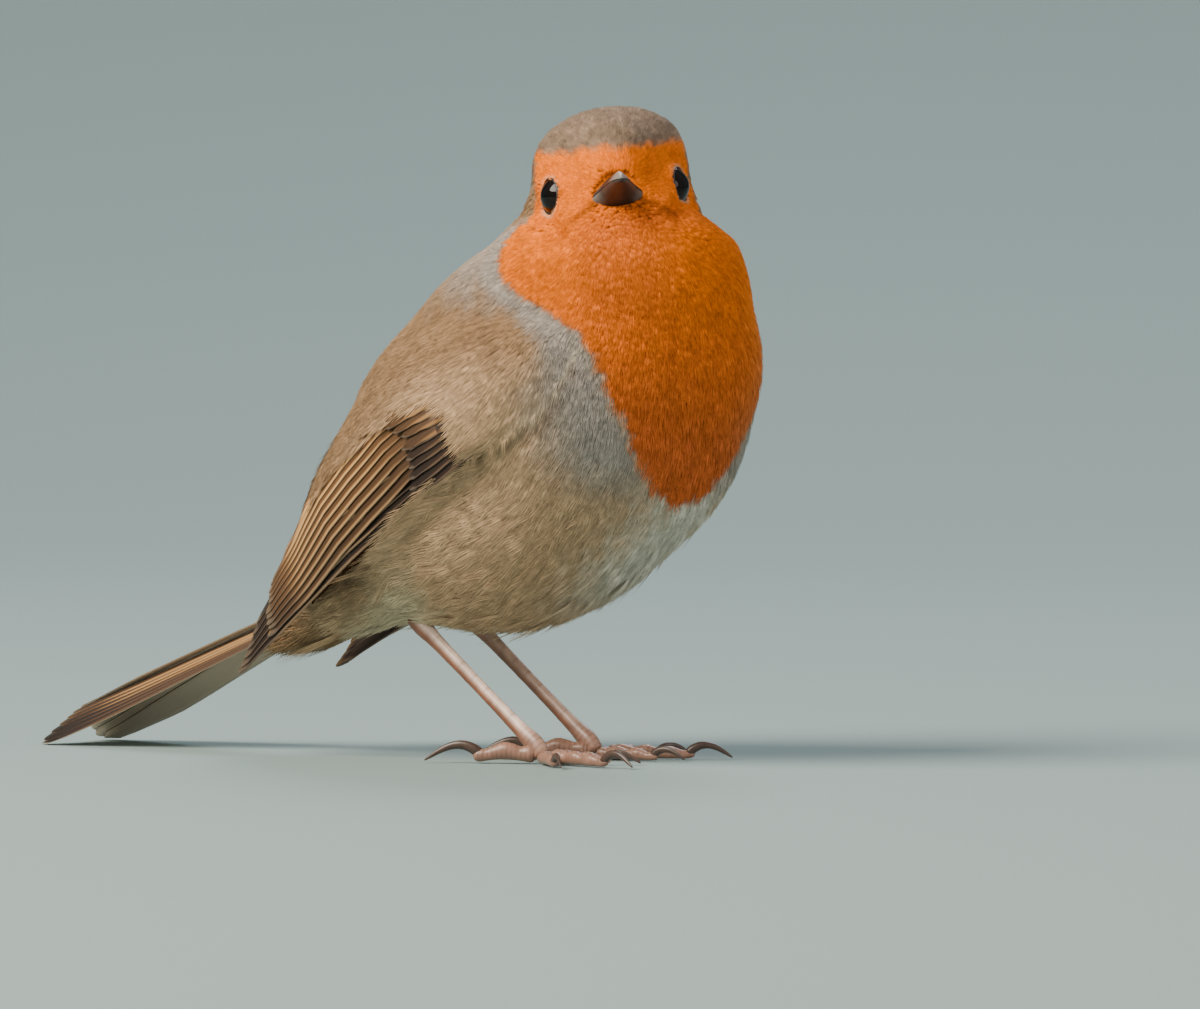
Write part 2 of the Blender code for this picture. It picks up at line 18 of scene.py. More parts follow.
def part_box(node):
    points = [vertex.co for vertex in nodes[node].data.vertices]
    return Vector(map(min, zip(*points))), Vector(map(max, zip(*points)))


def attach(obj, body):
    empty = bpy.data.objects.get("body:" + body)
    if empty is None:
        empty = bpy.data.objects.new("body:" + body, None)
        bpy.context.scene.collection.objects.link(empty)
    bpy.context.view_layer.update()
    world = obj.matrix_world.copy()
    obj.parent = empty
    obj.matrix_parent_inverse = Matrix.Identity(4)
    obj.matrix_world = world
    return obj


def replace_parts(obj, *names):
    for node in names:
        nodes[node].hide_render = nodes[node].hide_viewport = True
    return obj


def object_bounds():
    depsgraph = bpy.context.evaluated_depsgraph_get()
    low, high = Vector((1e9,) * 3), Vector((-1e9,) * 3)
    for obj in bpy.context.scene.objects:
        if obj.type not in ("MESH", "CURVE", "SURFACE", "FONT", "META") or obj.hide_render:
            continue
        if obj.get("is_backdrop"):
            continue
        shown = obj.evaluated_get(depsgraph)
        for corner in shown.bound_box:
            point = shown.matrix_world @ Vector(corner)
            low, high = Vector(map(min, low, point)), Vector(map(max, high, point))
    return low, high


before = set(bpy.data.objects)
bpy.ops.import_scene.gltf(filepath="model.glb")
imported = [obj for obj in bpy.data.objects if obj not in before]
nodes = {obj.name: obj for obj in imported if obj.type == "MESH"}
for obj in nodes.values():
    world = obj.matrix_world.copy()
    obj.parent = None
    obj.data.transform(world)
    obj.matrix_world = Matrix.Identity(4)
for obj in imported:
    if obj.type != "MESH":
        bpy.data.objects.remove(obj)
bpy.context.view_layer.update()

MM = 0.001
chance = np.random.default_rng(11)

# %% [markdown]
# ## The bird's own measures
# A feather is easier to place in the bird's own terms than in the room's: so many millimetres ahead
# of the feet, or behind the eyes. The two eyeballs fix where the head is, and from there the point
# on the floor between the feet follows. Two small functions turn points into millimetres from
# either one, and two more turn them back. Empties could do the same, but arrays of thousands of
# points are quicker to turn than objects.

# %% Bird and head measures
HEAD_PLACE = np.array((11.8, -3.4, 80.3))  # from the floor between the feet, x the way the trunk faces
HEAD_TURN, HEAD_TIP, HEAD_LEAN = -52.5, -9.0, 5.0
EYE_RADIUS, EYE_PLACE = 3.3, np.array((0.2, 7.1, 0.0))  # the left one, from the head's centre


def centre_of(name):
    """The middle of a solid's box."""
    low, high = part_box(name)
    return np.array((low + high) / 2)


turn = Matrix.Rotation(radians(HEAD_TURN), 3, "Z") @ Matrix.Rotation(radians(HEAD_TIP), 3, "Y")
HEAD_AXES = np.array(turn @ Matrix.Rotation(radians(HEAD_LEAN), 3, "X"))
head_centre = (centre_of("eye_left") + centre_of("eye_right")) / 2 - HEAD_AXES @ (EYE_PLACE[0] * MM, 0, 0)
FEET = head_centre - HEAD_PLACE * MM


def bird_mm(points):
    """World points in millimetres from the floor between the feet."""
    return (np.asarray(points) - FEET) / MM


def head_mm(points):
    """World points in millimetres from the head's centre: x ahead, y left, z up, as the head is held."""
    return (bird_mm(points) - HEAD_PLACE) @ HEAD_AXES


def from_bird(points):
    return np.asarray(points) * MM + FEET


def from_head(points):
    return from_bird(np.asarray(points) @ HEAD_AXES.T + HEAD_PLACE)


print("the floor between the feet is at", (FEET / MM).round(2), "mm")

# %% [markdown]
# ## Small tools
# `smooth` eases from 0 to 1, `through` draws a curve through a row of values, and `unit` makes
# directions one long. They work on whole numpy arrays, because there are tens of thousands of
# feathers to place, and a loop over each would take minutes.

# %% Curves and directions


def smooth(low, high, value):
    """Eases from 0 at low to 1 at high; low may be the larger, and then it eases down."""
    share = np.clip((np.asarray(value) - low) / (high - low), 0, 1)
    return share * share * (3 - 2 * share)


def through(values, share):
    """Values at shares 0 to 1 of a Catmull-Rom curve through the rows of an array."""
    values, share = np.asarray(values, float), np.atleast_1d(share)
    last = len(values) - 1
    i = np.clip((share * last).astype(int), 0, last - 1)
    t = (np.clip(share, 0, 1) * last - i)[:, None]
    before, start = values[np.maximum(i - 1, 0)], values[i]
    end, after = values[i + 1], values[np.minimum(i + 2, last)]
    bend = before * 2 - start * 5 + end * 4 - after
    return (start * 2 + (end - before) * t + bend * t**2 + (start * 3 - before - end * 3 + after) * t**3) / 2


def unit(vectors):
    return vectors / np.maximum(np.linalg.norm(vectors, axis=-1, keepdims=True), 1e-9)


print("smooth at a quarter, a half and three quarters:", smooth(0, 1, (0.25, 0.5, 0.75)).round(2))

# %% [markdown]
# ## Keeping a piece
# Every finished mesh goes into the scene the same way: smooth shaded, with one material, riding on the bird's one
# body. One function does that, so no piece can miss a step.

# %% Keep a piece


def keep(name, mesh, finish):
    """Puts a finished mesh or bmesh in the scene, smooth, with its material, riding on the bird."""
    if isinstance(mesh, bmesh.types.BMesh):
        source, mesh = mesh, bpy.data.meshes.new(name)
        source.to_mesh(mesh)
        source.free()
    made = bpy.data.objects.new(name, mesh)
    bpy.context.scene.collection.objects.link(made)
    mesh.materials.clear()
    mesh.materials.append(finish)
    mesh.shade_smooth()
    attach(made, "root")
    mesh.calc_loop_triangles()
    print(f"{name}: {len(mesh.loop_triangles)} triangles")
    return made


# %% [markdown]
# ## Camera
# The camera stands low and far away with a long lens, 35 degrees round from the bird's right side,
# a little above level. It could stand close with a short lens, but that swells whatever is nearest;
# a long lens keeps a small bird's proportions true.

# %% Camera
VIEW_ROUND, VIEW_UP = 35.0, 2.0
FRAME_WIDTH = 169.0 * MM  # how much of the bird's world the picture's width takes in
CAMERA_FAR = 1.6
SENSOR = 36.0


def heading(bearing, height):
    """A unit vector from the bird towards a bearing and a height in degrees."""
    level = cos(radians(height))
    return Vector((sin(radians(bearing)) * level, -cos(radians(bearing)) * level, sin(radians(height))))


back = heading(VIEW_ROUND, VIEW_UP)
target = Vector(from_bird((6.9, 0.0, 36.3)))
camera = bpy.data.objects.new("camera", bpy.data.cameras.new("camera"))
bpy.context.scene.collection.objects.link(camera)
camera.data.sensor_width = SENSOR
camera.data.lens = SENSOR * CAMERA_FAR / FRAME_WIDTH
camera.data.clip_start, camera.data.clip_end = 0.05, 60.0
camera.location = target + back * CAMERA_FAR
camera.rotation_euler = back.to_track_quat("Z", "Y").to_euler()
bpy.context.scene.camera = camera
print("lens", round(camera.data.lens), "mm, camera", round(camera.location.z / MM), "mm above the floor")

# %% [markdown]
# ## Colours and shader nodes
# Colours are written as the usual sRGB hex values and turned to linear light by one function. One
# more function adds any shader node, with its settings and with what goes into each socket: a
# number, a colour or the output of another node. A third turns the real size of a pattern into the
# scale that a noise node wants, which counts spots to the metre.

# %% Colours and shader nodes


def linear(code):
    values = [int(code[i : i + 2], 16) / 255 for i in (1, 3, 5)]
    return (*[v / 12.92 if v <= 0.04045 else ((v + 0.055) / 1.055) ** 2.4 for v in values], 1.0)


def add(tree, kind, sockets=None, **settings):
    """Adds a shader node. sockets maps an input's name or number to a value, colour or output."""
    made = tree.nodes.new("ShaderNode" + kind)
    for name, value in settings.items():
        setattr(made, name, value)
    for name, value in (sockets or {}).items():
        if isinstance(value, bpy.types.NodeSocket):
            tree.links.new(value, made.inputs[name])
        else:
            made.inputs[name].default_value = linear(value) if isinstance(value, str) else value
    return made


def new_material(name):
    """An empty material and the tree to fill."""
    made = bpy.data.materials.new(name)
    made.use_nodes = True
    made.node_tree.nodes.clear()
    return made, made.node_tree


def spots(size):
    """The noise scale that gives spots so many millimetres across."""
    return 1 / (size * MM)


print("white paper is", [round(v, 3) for v in linear("#f2f2f0")[:3]], "in linear light")

# %% [markdown]
# ## Floor and backdrop
# A museum would show the model on a plain pale ground. A plane and a wall would meet in a line
# behind the bird, so here one strip runs far back and curves up into a wall, with no horizon. It is
# a line of points swept sideways.

# %% Floor and backdrop
FLOOR_ENDS, BEND_RADIUS, WALL_TOP, HALF_WIDTH = 0.7, 1.6, 4.0, 4.0
UNDER_FEET = 0.0002  # the paper lies this far under the flats the bird stands on

bm = bmesh.new()
floor_line = [bm.verts.new((0, y, 0)) for y in (-3.0, FLOOR_ENDS)]
rise = [
    bm.verts.new((0, FLOOR_ENDS + sin(a) * BEND_RADIUS, BEND_RADIUS - cos(a) * BEND_RADIUS))
    for a in np.linspace(0.06, pi / 2, 24)
]
wall = floor_line + rise + [bm.verts.new((0, FLOOR_ENDS + BEND_RADIUS, WALL_TOP))]
edges = [bm.edges.new(pair) for pair in zip(wall, wall[1:])]
swept = bmesh.ops.extrude_edge_only(bm, edges=edges)["geom"]
far_side = [v for v in swept if isinstance(v, bmesh.types.BMVert)]
bmesh.ops.translate(bm, verts=far_side, vec=(2 * HALF_WIDTH, 0, 0))
bmesh.ops.translate(bm, verts=bm.verts, vec=(-HALF_WIDTH, 0, -UNDER_FEET))
bmesh.ops.rotate(bm, verts=bm.verts, matrix=Matrix.Rotation(radians(VIEW_ROUND), 3, "Z"))
bmesh.ops.recalc_face_normals(bm, faces=bm.faces)
mesh = bpy.data.meshes.new("backdrop")
bm.to_mesh(mesh)
bm.free()
backdrop = bpy.data.objects.new("backdrop", mesh)
bpy.context.scene.collection.objects.link(backdrop)
# Uncoated backdrop paper is rolled dry and matt, so the eye sees an even tone and no glare.
paper, tree = new_material("matt_backdrop_paper")
shader = add(tree, "BsdfPrincipled", {"Base Color": "#869a9a", "Roughness": 0.9})
add(tree, "OutputMaterial", {"Surface": shader.outputs[0]})
mesh.materials.append(paper)
mesh.shade_smooth()
backdrop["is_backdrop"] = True
print("the backdrop has", len(mesh.polygons), "faces")

# %% [markdown]
# ## Light
# A big soft lamp stands high on the left, as a window would, a weak one fills from the right, and
# a third from behind picks out the edges of the feathers. Bare bulbs would throw hard shadows that
# hide the barbs.

# %% Light


def soft_lamp(name, bearing, height, far, size, watts, colour):
    """An area lamp that faces the bird; the bearing is measured from the camera, left negative."""
    place = target + heading(VIEW_ROUND + bearing, height) * far
    lamp = bpy.data.objects.new(name, bpy.data.lights.new(name, "AREA"))
    bpy.context.scene.collection.objects.link(lamp)
    lamp.data.shape, lamp.data.size, lamp.data.energy = "DISK", size, watts
    lamp.data.color = linear(colour)[:3]
    lamp.location = place
    lamp.rotation_euler = (place - target).to_track_quat("Z", "Y").to_euler()
    print(f"{name}: {watts} W, {size} m across, {far} m away")


soft_lamp("window_lamp", -58, 42, 1.3, 0.9, 36, "#fff3e2")
soft_lamp("fill_lamp", 48, 18, 1.6, 1.0, 8, "#fff4ea")
soft_lamp("edge_lamp", 165, 48, 1.4, 0.7, 10, "#f4f7ff")
world = bpy.data.worlds.new("room")
bpy.context.scene.world = world
world.use_nodes = True
world.node_tree.nodes["Background"].inputs[0].default_value = linear("#d2d5d3")
world.node_tree.nodes["Background"].inputs[1].default_value = 0.55

# %% [markdown]
# ## The body's outline
# The solids are parted by thin gaps and have pockets for eyes, bill and wings. The plumage should
# run over all that as one form. Copies of the solids are joined, the eye and bill pockets are
# plugged, and a voxel remesh makes one closed surface, which is then relaxed. A boolean union
# would keep every gap; the remesh swallows them.

# %% Join the solids into one outline
FLESH = ["head", "neck", "breast", "back", "belly", "rump", "thigh_left", "thigh_right"]
ARMS = [f"wing_{side}_{part}" for side in ("left", "right") for part in ("coverts", "secondaries")]
PLUGS = (((0.2, 6.4, 0), 3.7), ((0.2, -6.4, 0), 3.7), ((4.2, 0, -1.6), 4.3))  # head millimetres, and radius

bm = bmesh.new()
for name in FLESH + ARMS:
    bm.from_mesh(nodes[name].data)
bmesh.ops.remove_doubles(bm, verts=bm.verts, dist=1e-6)
for centre, size in PLUGS:
    place = Matrix.Translation(from_head(centre))
    bmesh.ops.create_icosphere(bm, subdivisions=3, radius=size * MM, matrix=place)
mesh = bpy.data.meshes.new("outline")
bm.to_mesh(mesh)
bm.free()
rough = bpy.data.objects.new("outline", mesh)
bpy.context.scene.collection.objects.link(rough)
melt = rough.modifiers.new("Melt", "REMESH")
melt.mode, melt.voxel_size = "VOXEL", 0.85 * MM
relax = rough.modifiers.new("Relax", "SMOOTH")
relax.factor, relax.iterations = 0.5, 8
rough.modifiers.new("Triangles", "TRIANGULATE")
bpy.context.view_layer.update()
outline = bpy.data.meshes.new_from_object(rough.evaluated_get(bpy.context.evaluated_depsgraph_get()))
bpy.data.objects.remove(rough)
print("the body's outline has", len(outline.polygons), "faces")

# %% [markdown]
# ## Finer round the eyes, and flat on a map
# Round the eyes the surface has to follow a rim under a millimetre wide, so it is cut finer there
# and only there. Then it is unwrapped, and every feather will take its patch of that map from the
# place it grows at. An unwrap by hand would be neater, but this one is the same on every run.

# %% Cut finer round the eyes and unwrap
FINE_WITHIN = 6.5 * MM

bm = bmesh.new()
bm.from_mesh(outline)
eye_centres = [Vector(from_head(EYE_PLACE * (1, flip, 1))) for flip in (1, -1)]
close = [e for e in bm.edges if min((e.verts[0].co - c).length for c in eye_centres) < FINE_WITHIN]
bmesh.ops.subdivide_edges(bm, edges=close, cuts=2, use_grid_fill=True)
bmesh.ops.triangulate(bm, faces=bm.faces)
bm.to_mesh(outline)
bm.free()
shell = bpy.data.objects.new("outline_shell", outline)
bpy.context.scene.collection.objects.link(shell)
bpy.context.view_layer.objects.active = shell
shell.select_set(True)
outline.uv_layers.new(name="OFBake")
bpy.ops.object.mode_set(mode="EDIT")
bpy.ops.mesh.select_all(action="SELECT")
bpy.ops.uv.smart_project(angle_limit=radians(60), island_margin=0.004)
bpy.ops.object.mode_set(mode="OBJECT")
print(len(close), "edges cut finer, and", len(outline.polygons), "faces unwrapped")

# %% [markdown]
# ## Read the outline into arrays
# From here the outline is three arrays: its points, its triangles and their places on the map. The
# nearest place on it is asked for tens of thousands of times, so the triangles go into a tree.
# First it is given its last touches: the crown's feathers stand a little higher than the solid,
# more on the left, and round each eye the coat slopes up to the lids and drops away under the ball.

# %% Read the outline, raise the crown and open the eyes
LOOK = np.array((0.36, 0.93, 0.05)) / np.linalg.norm((0.36, 0.93, 0.05))  # the way the left eye faces
OPENING = 46.0  # half the angle that the lids leave open


def read(source, name, size, kind=np.float32):
    """One property of many mesh elements, as an array."""
    values = np.empty(len(source) * size, kind)
    source.foreach_get(name, values)
    return values.reshape(-1, size)


points = read(outline.vertices, "co", 3).astype(float)
faces = read(outline.loops, "vertex_index", 1, np.int32).reshape(-1, 3)
face_uv = read(outline.uv_layers["OFBake"].data, "uv", 2).reshape(-1, 3, 2)
h = head_mm(points)
crest = 0.9 * smooth(3.5, 9.0, h[:, 2]) * smooth(-16, -4, h[:, 0]) * (1 + 0.04 * h[:, 1])
points += HEAD_AXES[:, 2] * (crest * MM)[:, None]
for flip in (1, -1):
    away = head_mm(points) - EYE_PLACE * (1, flip, 1)
    far = np.linalg.norm(away, axis=1)
    angle = np.degrees(np.arccos(np.clip(away @ (LOOK * (1, flip, 1)) / far, -1, 1)))
    beyond = np.maximum(angle - OPENING, 0)
    most = EYE_RADIUS + np.where(beyond < 3, -0.5, 0.22 + 0.016 * beyond**1.75)
    least = EYE_RADIUS + 0.22 + 0.012 * beyond
    wanted = np.where((beyond < 50) & (far < 12), np.minimum(far, most), far)
    wanted += np.clip(least - wanted, 0, 2) * (beyond >= 3) * (1 - smooth(14, 50, beyond)) * (far > 1)
    points += away @ HEAD_AXES.T * ((wanted / far - 1) * MM)[:, None]
outline.vertices.foreach_set("co", points.astype(np.float32).ravel())
outline.update()
normals = read(outline.vertex_normals, "vector", 3).astype(float)
skin_tree = BVHTree.FromPolygons(points.tolist(), faces.tolist())
print("the crown is raised by up to", round(float(crest.max()), 2), "mm;", len(faces), "triangles in the tree")

# %% [markdown]
# ## The nearest place on the body
# A feather's middle and tip have to lie on the body, so each is moved to the nearest point of the
# outline. The normal there is blended from the triangle's three corners; the triangle's own would
# make the coat look cut in facets.

# %% Nearest place


def on_outline(places):
    """The nearest points of the outline, with its smooth normals there."""
    spots_on, ups = np.empty((len(places), 3)), np.empty((len(places), 3))
    for i, place in enumerate(places.tolist()):
        spot, _, face, _ = skin_tree.find_nearest(place)
        corners = faces[face]
        near = 1 / (np.linalg.norm(points[corners] - spot, axis=1) + 1e-5)
        spots_on[i], ups[i] = spot, near @ normals[corners]
    return spots_on, unit(ups)


print("above the head's centre the outline is at", on_outline(from_head([(0, 0, 30)]))[0].round(4)[0], "m")

# %% [markdown]
# ## Where the wing lies
# The folded wing is a long plate along a curved line. For any share of its length, `wing_frames`
# gives its middle, which way is up across it, which way is out, and its half-width, and
# `wing_place` does the reverse for any point near it. The same numbers shape the solid, so vanes,
# coat and markings all agree on where the wing is.

# %% The folded wing's line
WING_LINE = np.array((
    # x, y, z of the middle, half-width, and how far the face looks up, from the shoulder to the tip
    (14.5, -17.4, 61.5, 3.0, 12.0), (7.5, -20.6, 57.8, 8.2, 14.0), (-8.8, -21.0, 49.0, 11.0, 20.0),
    (-23.6, -18.8, 36.6, 10.0, 26.0), (-32.4, -16.2, 27.8, 7.2, 28.0), (-40.4, -14.2, 20.0, 4.4, 27.0),
    (-48.6, -12.5, 11.9, 1.1, 26.0),
))  # fmt: skip


def wing_frames(shares):
    """Middle, upward and outward directions and half-width of the right wing, in bird millimetres."""
    row = through(WING_LINE, shares)
    run = unit(through(WING_LINE, shares + 0.01)[:, :3] - through(WING_LINE, shares - 0.01)[:, :3])
    lean = np.radians(row[:, 4])
    out = np.stack([0 * lean, -np.cos(lean), np.sin(lean)], 1)
    out = unit(out - run * (out * run).sum(1, keepdims=True))
    up = unit(np.cross(run, out))
    up *= np.sign(up[:, 2:3])
    return row[:, :3], up, out, row[:, 3]


def mirror(p):
    """1 for each bird point on the right, and what turns its y over for each on the left."""
    return np.where(p[:, 1:2] > 0, (1, -1, 1), (1, 1, 1))


def wing_place(where):
    """Share along the wing, place across it from -1 to 1, and height over it, of bird points."""
    mirrored = where * mirror(where)
    shares = np.linspace(0.0, 1.0, 81)
    middle, up, out, half = wing_frames(shares)
    run = np.cross(up, out)
    ahead = np.abs(((mirrored[:, None] - middle) * run).sum(2))
    ahead += 0.05 * np.linalg.norm(mirrored[:, None] - middle, axis=2)
    best = ahead.argmin(1)
    offset = mirrored - middle[best]
    return shares[best], (offset * up[best]).sum(1) / half[best], (offset * out[best]).sum(1)


def coat_ends(across):
    """The share of the wing's length where the soft coat gives way to bare vanes; later by the back."""
    return 0.26 + 0.34 * smooth(-0.1, 0.9, across)


wing_steps = np.diff(wing_frames(np.linspace(0, 1, 41))[0], axis=0)
print("the folded wing is", round(float(np.linalg.norm(wing_steps, axis=1).sum()), 1), "mm long")

# %% [markdown]
# ## Markings
# A robin's pattern is a few soft-edged fields: the orange bib, the blue-grey band that frames it,
# an olive-brown crown and back, buff flanks and a white belly. Each could be painted as a picture,
# but here each is a weight from 0 to 1, worked out from where a point lies on the body. The skin
# and every feather get the same weights, so the pattern is right even where feathers part.
#
# The bib comes first. On the breast its edge is given by height: the bearing of its middle, and how
# far it spreads to each side. On the head it ends at the brow and behind the eye.

# %% The bib
HEAD_STARTS = (74.5, 77.5)  # heights between which the breast's rule gives way to the head's
BIB = np.array((
    # height, bearing of the bib's middle, and how far it spreads to each side, in degrees
    (37.4, -12, 0), (38.6, -12, 8), (40, -12, 15), (43, -12, 22), (46, -12, 26), (50, -12, 31),
    (54, -13, 36), (58, -15, 37), (61, -18, 39), (63, -21.5, 42.5), (65, -27, 48), (67, -34.5, 55),
    (69, -41, 60.5), (71, -46.5, 64.5), (74, -52, 69), (79, -52, 62),
), float)  # fmt: skip
FACE_BACK = np.array((
    # height over the eyes, and how far ahead of them the orange ends there
    (-14, -5), (-9, -6.5), (-6, -7), (-4.3, -6), (-3, -4.6), (-1.9, -3.4), (0, -2.8), (2, -2.6),
    (4, -3.0), (6, -3.2),
))  # fmt: skip


def ragged(p):
    """A small wave over the body, which keeps the edges between colours from running straight."""
    return np.sin(p[:, 0] * 1.7 + p[:, 1] * 1.1) + np.sin(p[:, 2] * 1.9 - p[:, 1] * 1.3)


def beyond_bib(p):
    """Degrees round the trunk from the bib's edge; negative inside it."""
    bearing = np.degrees(np.arctan2(p[:, 1], p[:, 0] - 5))
    off = np.abs((bearing - np.interp(p[:, 2], BIB[:, 0], BIB[:, 1]) + 180) % 360 - 180) + ragged(p) * 0.6
    return off - np.interp(p[:, 2], BIB[:, 0], BIB[:, 2])


def bib_mark(p, h):
    """The orange of face and breast."""
    wave, on_head = ragged(p), smooth(*HEAD_STARTS, p[:, 2])
    breast = (1 - smooth(-1.5, 1.5, beyond_bib(p))) * smooth(37, 38, p[:, 2])
    brow = 4.9 + 0.018 * h[:, 1] ** 2 + wave * 0.22
    face = 1 - smooth(-0.7, 0.7, h[:, 2] - brow)
    face_ends = np.interp(h[:, 2], FACE_BACK[:, 0], FACE_BACK[:, 1])
    face *= smooth(-1.0, 1.0, h[:, 0] - face_ends + wave * 0.25)
    return face * on_head + breast * (1 - on_head)


def rust_mark(p, h):
    """How far the orange deepens: down the breast, and as painted shade down the left cheek and under the chin.
    """
    low = smooth(72, 42, p[:, 2]) * 0.9 + 0.1 * smooth(0, 2, ragged(p))
    # Painted shade: the left cheek and the chin under the bill are deepened.
    cheek = 0.30 * smooth(-5, 7, h[:, 1]) * smooth(-1, -5, h[:, 2]) * smooth(*HEAD_STARTS, p[:, 2])
    chin = 0.35 * smooth(9, 3, np.abs(h[:, 1])) * smooth(-3, -6, h[:, 2]) * smooth(-24, -14, h[:, 2])
    return np.clip(low + cheek + chin, 0, 1)


bib_share = bib_mark(bird_mm(points), head_mm(points)).mean()
print("the bib takes", round(100 * float(bib_share)), "% of the outline's points")

# %% [markdown]
# ## Grey band, flanks and belly
# A blue-grey band frames the bib and runs up behind the cheek. Below it the flanks are buff, the
# belly white, and the vent cream and fluffy, browner again towards the tail. What lies under is
# best told by how far round the trunk a point is from the midline of the belly, so that is measured
# first, about the trunk's own slanting axis.

# %% Grey band, flanks and belly
TRUNK_MIDDLE = (-6, 0, 45)
TRUNK_RUN, TRUNK_DOWN = np.array((0.72, 0, 0.69)), np.array((0.69, 0, -0.72))


def round_belly(p):
    """Degrees round from the midline of the belly, about the trunk's own long axis."""
    away = (p - TRUNK_MIDDLE) - np.outer((p - TRUNK_MIDDLE) @ TRUNK_RUN, TRUNK_RUN)
    return np.degrees(np.arctan2(np.abs(p[:, 1]), away @ TRUNK_DOWN))


def grey_mark(p, bib):
    """The blue-grey band round the bib, and its run up to the nape."""
    z, beyond = p[:, 2], beyond_bib(p)
    widest = 25 + 24 * smooth(60, 48, z)
    band = smooth(-1, 3, beyond) * (1 - smooth(14, widest, beyond)) * smooth(35, 45, z)
    band *= 1 - smooth(*HEAD_STARTS, z)
    nape = smooth(62, 71, z + ragged(p)) * (1 - smooth(73, 78, z)) * (1 - bib) * 0.85
    nape = nape * smooth(2, 10, np.abs(p[:, 1])) * smooth(-17, -7, p[:, 0])
    return np.maximum(band, nape)


def under_marks(p, bib):
    """The buff of the flanks, the white of the belly and the cream of the vent."""
    x, z, wave, under = p[:, 0], p[:, 2], ragged(p), round_belly(p)
    flank = (1 - smooth(95, 125, under)) * smooth(62, 52, z)
    white = (1 - smooth(2, 30, under + wave * 3)) * smooth(48, 38, z)
    white = white * (0.08 + 0.92 * smooth(0, 16, x)) * (1 - bib)
    white = np.maximum(white, 0.75 * smooth(-28, -36, x) * (1 - smooth(30, 60, under)))
    vent = smooth(-9, -18, x) * (1 - smooth(48, 84, under + wave * 4)) * (1 - 0.3 * smooth(-28, -40, x))
    return flank, white, vent


print("the vent lies", round(float(round_belly(np.array([(-24.0, 8.0, 19.0)]))[0])), "degrees round, at 8 mm out")

# %% [markdown]
# ## Lines and pale edges
# Small marks give the face its look: painted shade in dark lines back from the corners of the mouth, and pale
# feathers round the lids. Two more give the wing its seat: a pale line of feather tips over painted shade in the
# fold along its front edge, and painted shade where the flank tucks under it. That shade could be left to the
# lamps, but at this size a shadow alone is too faint.

# %% Lines and pale edges
MOUTH_CORNER = (3.4, -2.7)  # out from the head's middle and up from the eyes, in millimetres
MOUTH_RUN = (3.9, 1.9)  # how far the line runs out, and down


def near_eye(h):
    """Distance from the nearer eyeball's centre, and degrees from the way it looks, of head points."""
    away = h * np.where(h[:, 1:2] > 0, (1, 1, 1), (1, -1, 1)) - EYE_PLACE
    far = np.linalg.norm(away, axis=1)
    angle = np.degrees(np.arccos(np.clip(away @ LOOK / far, -1, 1)))
    return far, np.where(far < EYE_RADIUS + 2.5, angle, 180)


def painted_shade_lines(p, h):
    """Painted shade: dark lines back from the mouth, and where the flank tucks under the wing."""
    side, low = np.abs(h[:, 1]) - MOUTH_CORNER[0], h[:, 2] - MOUTH_CORNER[1]
    out, down = MOUTH_RUN
    run = np.clip((side * out - low * down) / (out**2 + down**2), 0, 1)
    line = np.hypot(side - out * run, low + down * run)
    mouth = (1 - smooth(0.1, 0.8, line)) * (0.62 - 0.30 * run) * (h[:, 0] > 0)
    under = round_belly(p)
    # Painted shade where the flank tucks under the wing.
    tucked = smooth(-15, -22, p[:, 0]) * smooth(-34, -26, p[:, 0])
    tucked = tucked * smooth(62, 80, under) * (1 - smooth(95, 112, under))
    return np.maximum(mouth, 0.42 * tucked)


def pale_feathers(p, h, bib):
    """Pale feathers round the lids, most below them, and a little painted light on the left of the breast."""
    far, angle = near_eye(h)
    rim = 1 - smooth(OPENING + 4, OPENING + 13, angle)
    rim = rim * (1 - smooth(EYE_RADIUS + 0.4, EYE_RADIUS + 1.0, far))
    lids = rim * (0.38 * smooth(-0.5, -2, h[:, 2]) + 0.20 * smooth(0.5, 2.5, h[:, 2]) + 0.12)
    # Painted light: the left of the breast is paled a little.
    left = 0.12 * bib * (1 - smooth(*HEAD_STARTS, p[:, 2]))
    left = left * smooth(-4, 12, p[:, 1]) * smooth(40, 50, p[:, 2])
    return np.maximum(lids, left)


def wing_fold(p, bib):
    """The pale line along the folded wing's front edge, and painted shade in the fold under it."""
    share, across, over = wing_place(p)
    fold = smooth(0.25, 0.17, share) * smooth(-0.02, 0.03, share)
    fold = fold * (over > -3.5) * (np.abs(p[:, 1]) > 10) * (1 - bib)
    pale = 0.45 * fold * np.exp(-(((across + 0.98) / 0.07) ** 2))
    # The second weight is painted shade in the fold.
    return pale, 0.45 * fold * np.exp(-(((across + 1.16) / 0.07) ** 2))


print("the dark lines run", round(float(np.hypot(*MOUTH_RUN)), 1), "mm back from the mouth")

# %% [markdown]
# ## All the markings together
# The eight weights go side by side in one array, four for each of two colour attributes. Where two
# rules give the same colour the stronger wins, so pale and dark lines never add up past full.

# %% All eight weights
MARKS = ("bib", "rust", "grey", "crown", "flank", "white", "cream", "dark")


def marks(where):
    """The eight weights at world points, in the order of MARKS."""
    p, h = bird_mm(where), head_mm(where)
    bib = bib_mark(p, h)
    crown = smooth(78, 84, p[:, 2]) * (1 - bib)
    flank, white, vent = under_marks(p, bib)
    pale_tips, painted_fold_shade = wing_fold(p, bib)
    cream = np.maximum(np.maximum(vent, pale_feathers(p, h, bib)), pale_tips)
    # Painted shade: the mouth lines, the flank under the wing and the wing's fold.
    dark = np.maximum(painted_shade_lines(p, h), painted_fold_shade)
    return np.stack([bib, rust_mark(p, h), grey_mark(p, bib), crown, flank, white, cream, dark], 1)


skin_marks = marks(points)
print({name: round(float(value), 2) for name, value in zip(MARKS, skin_marks.mean(0))})
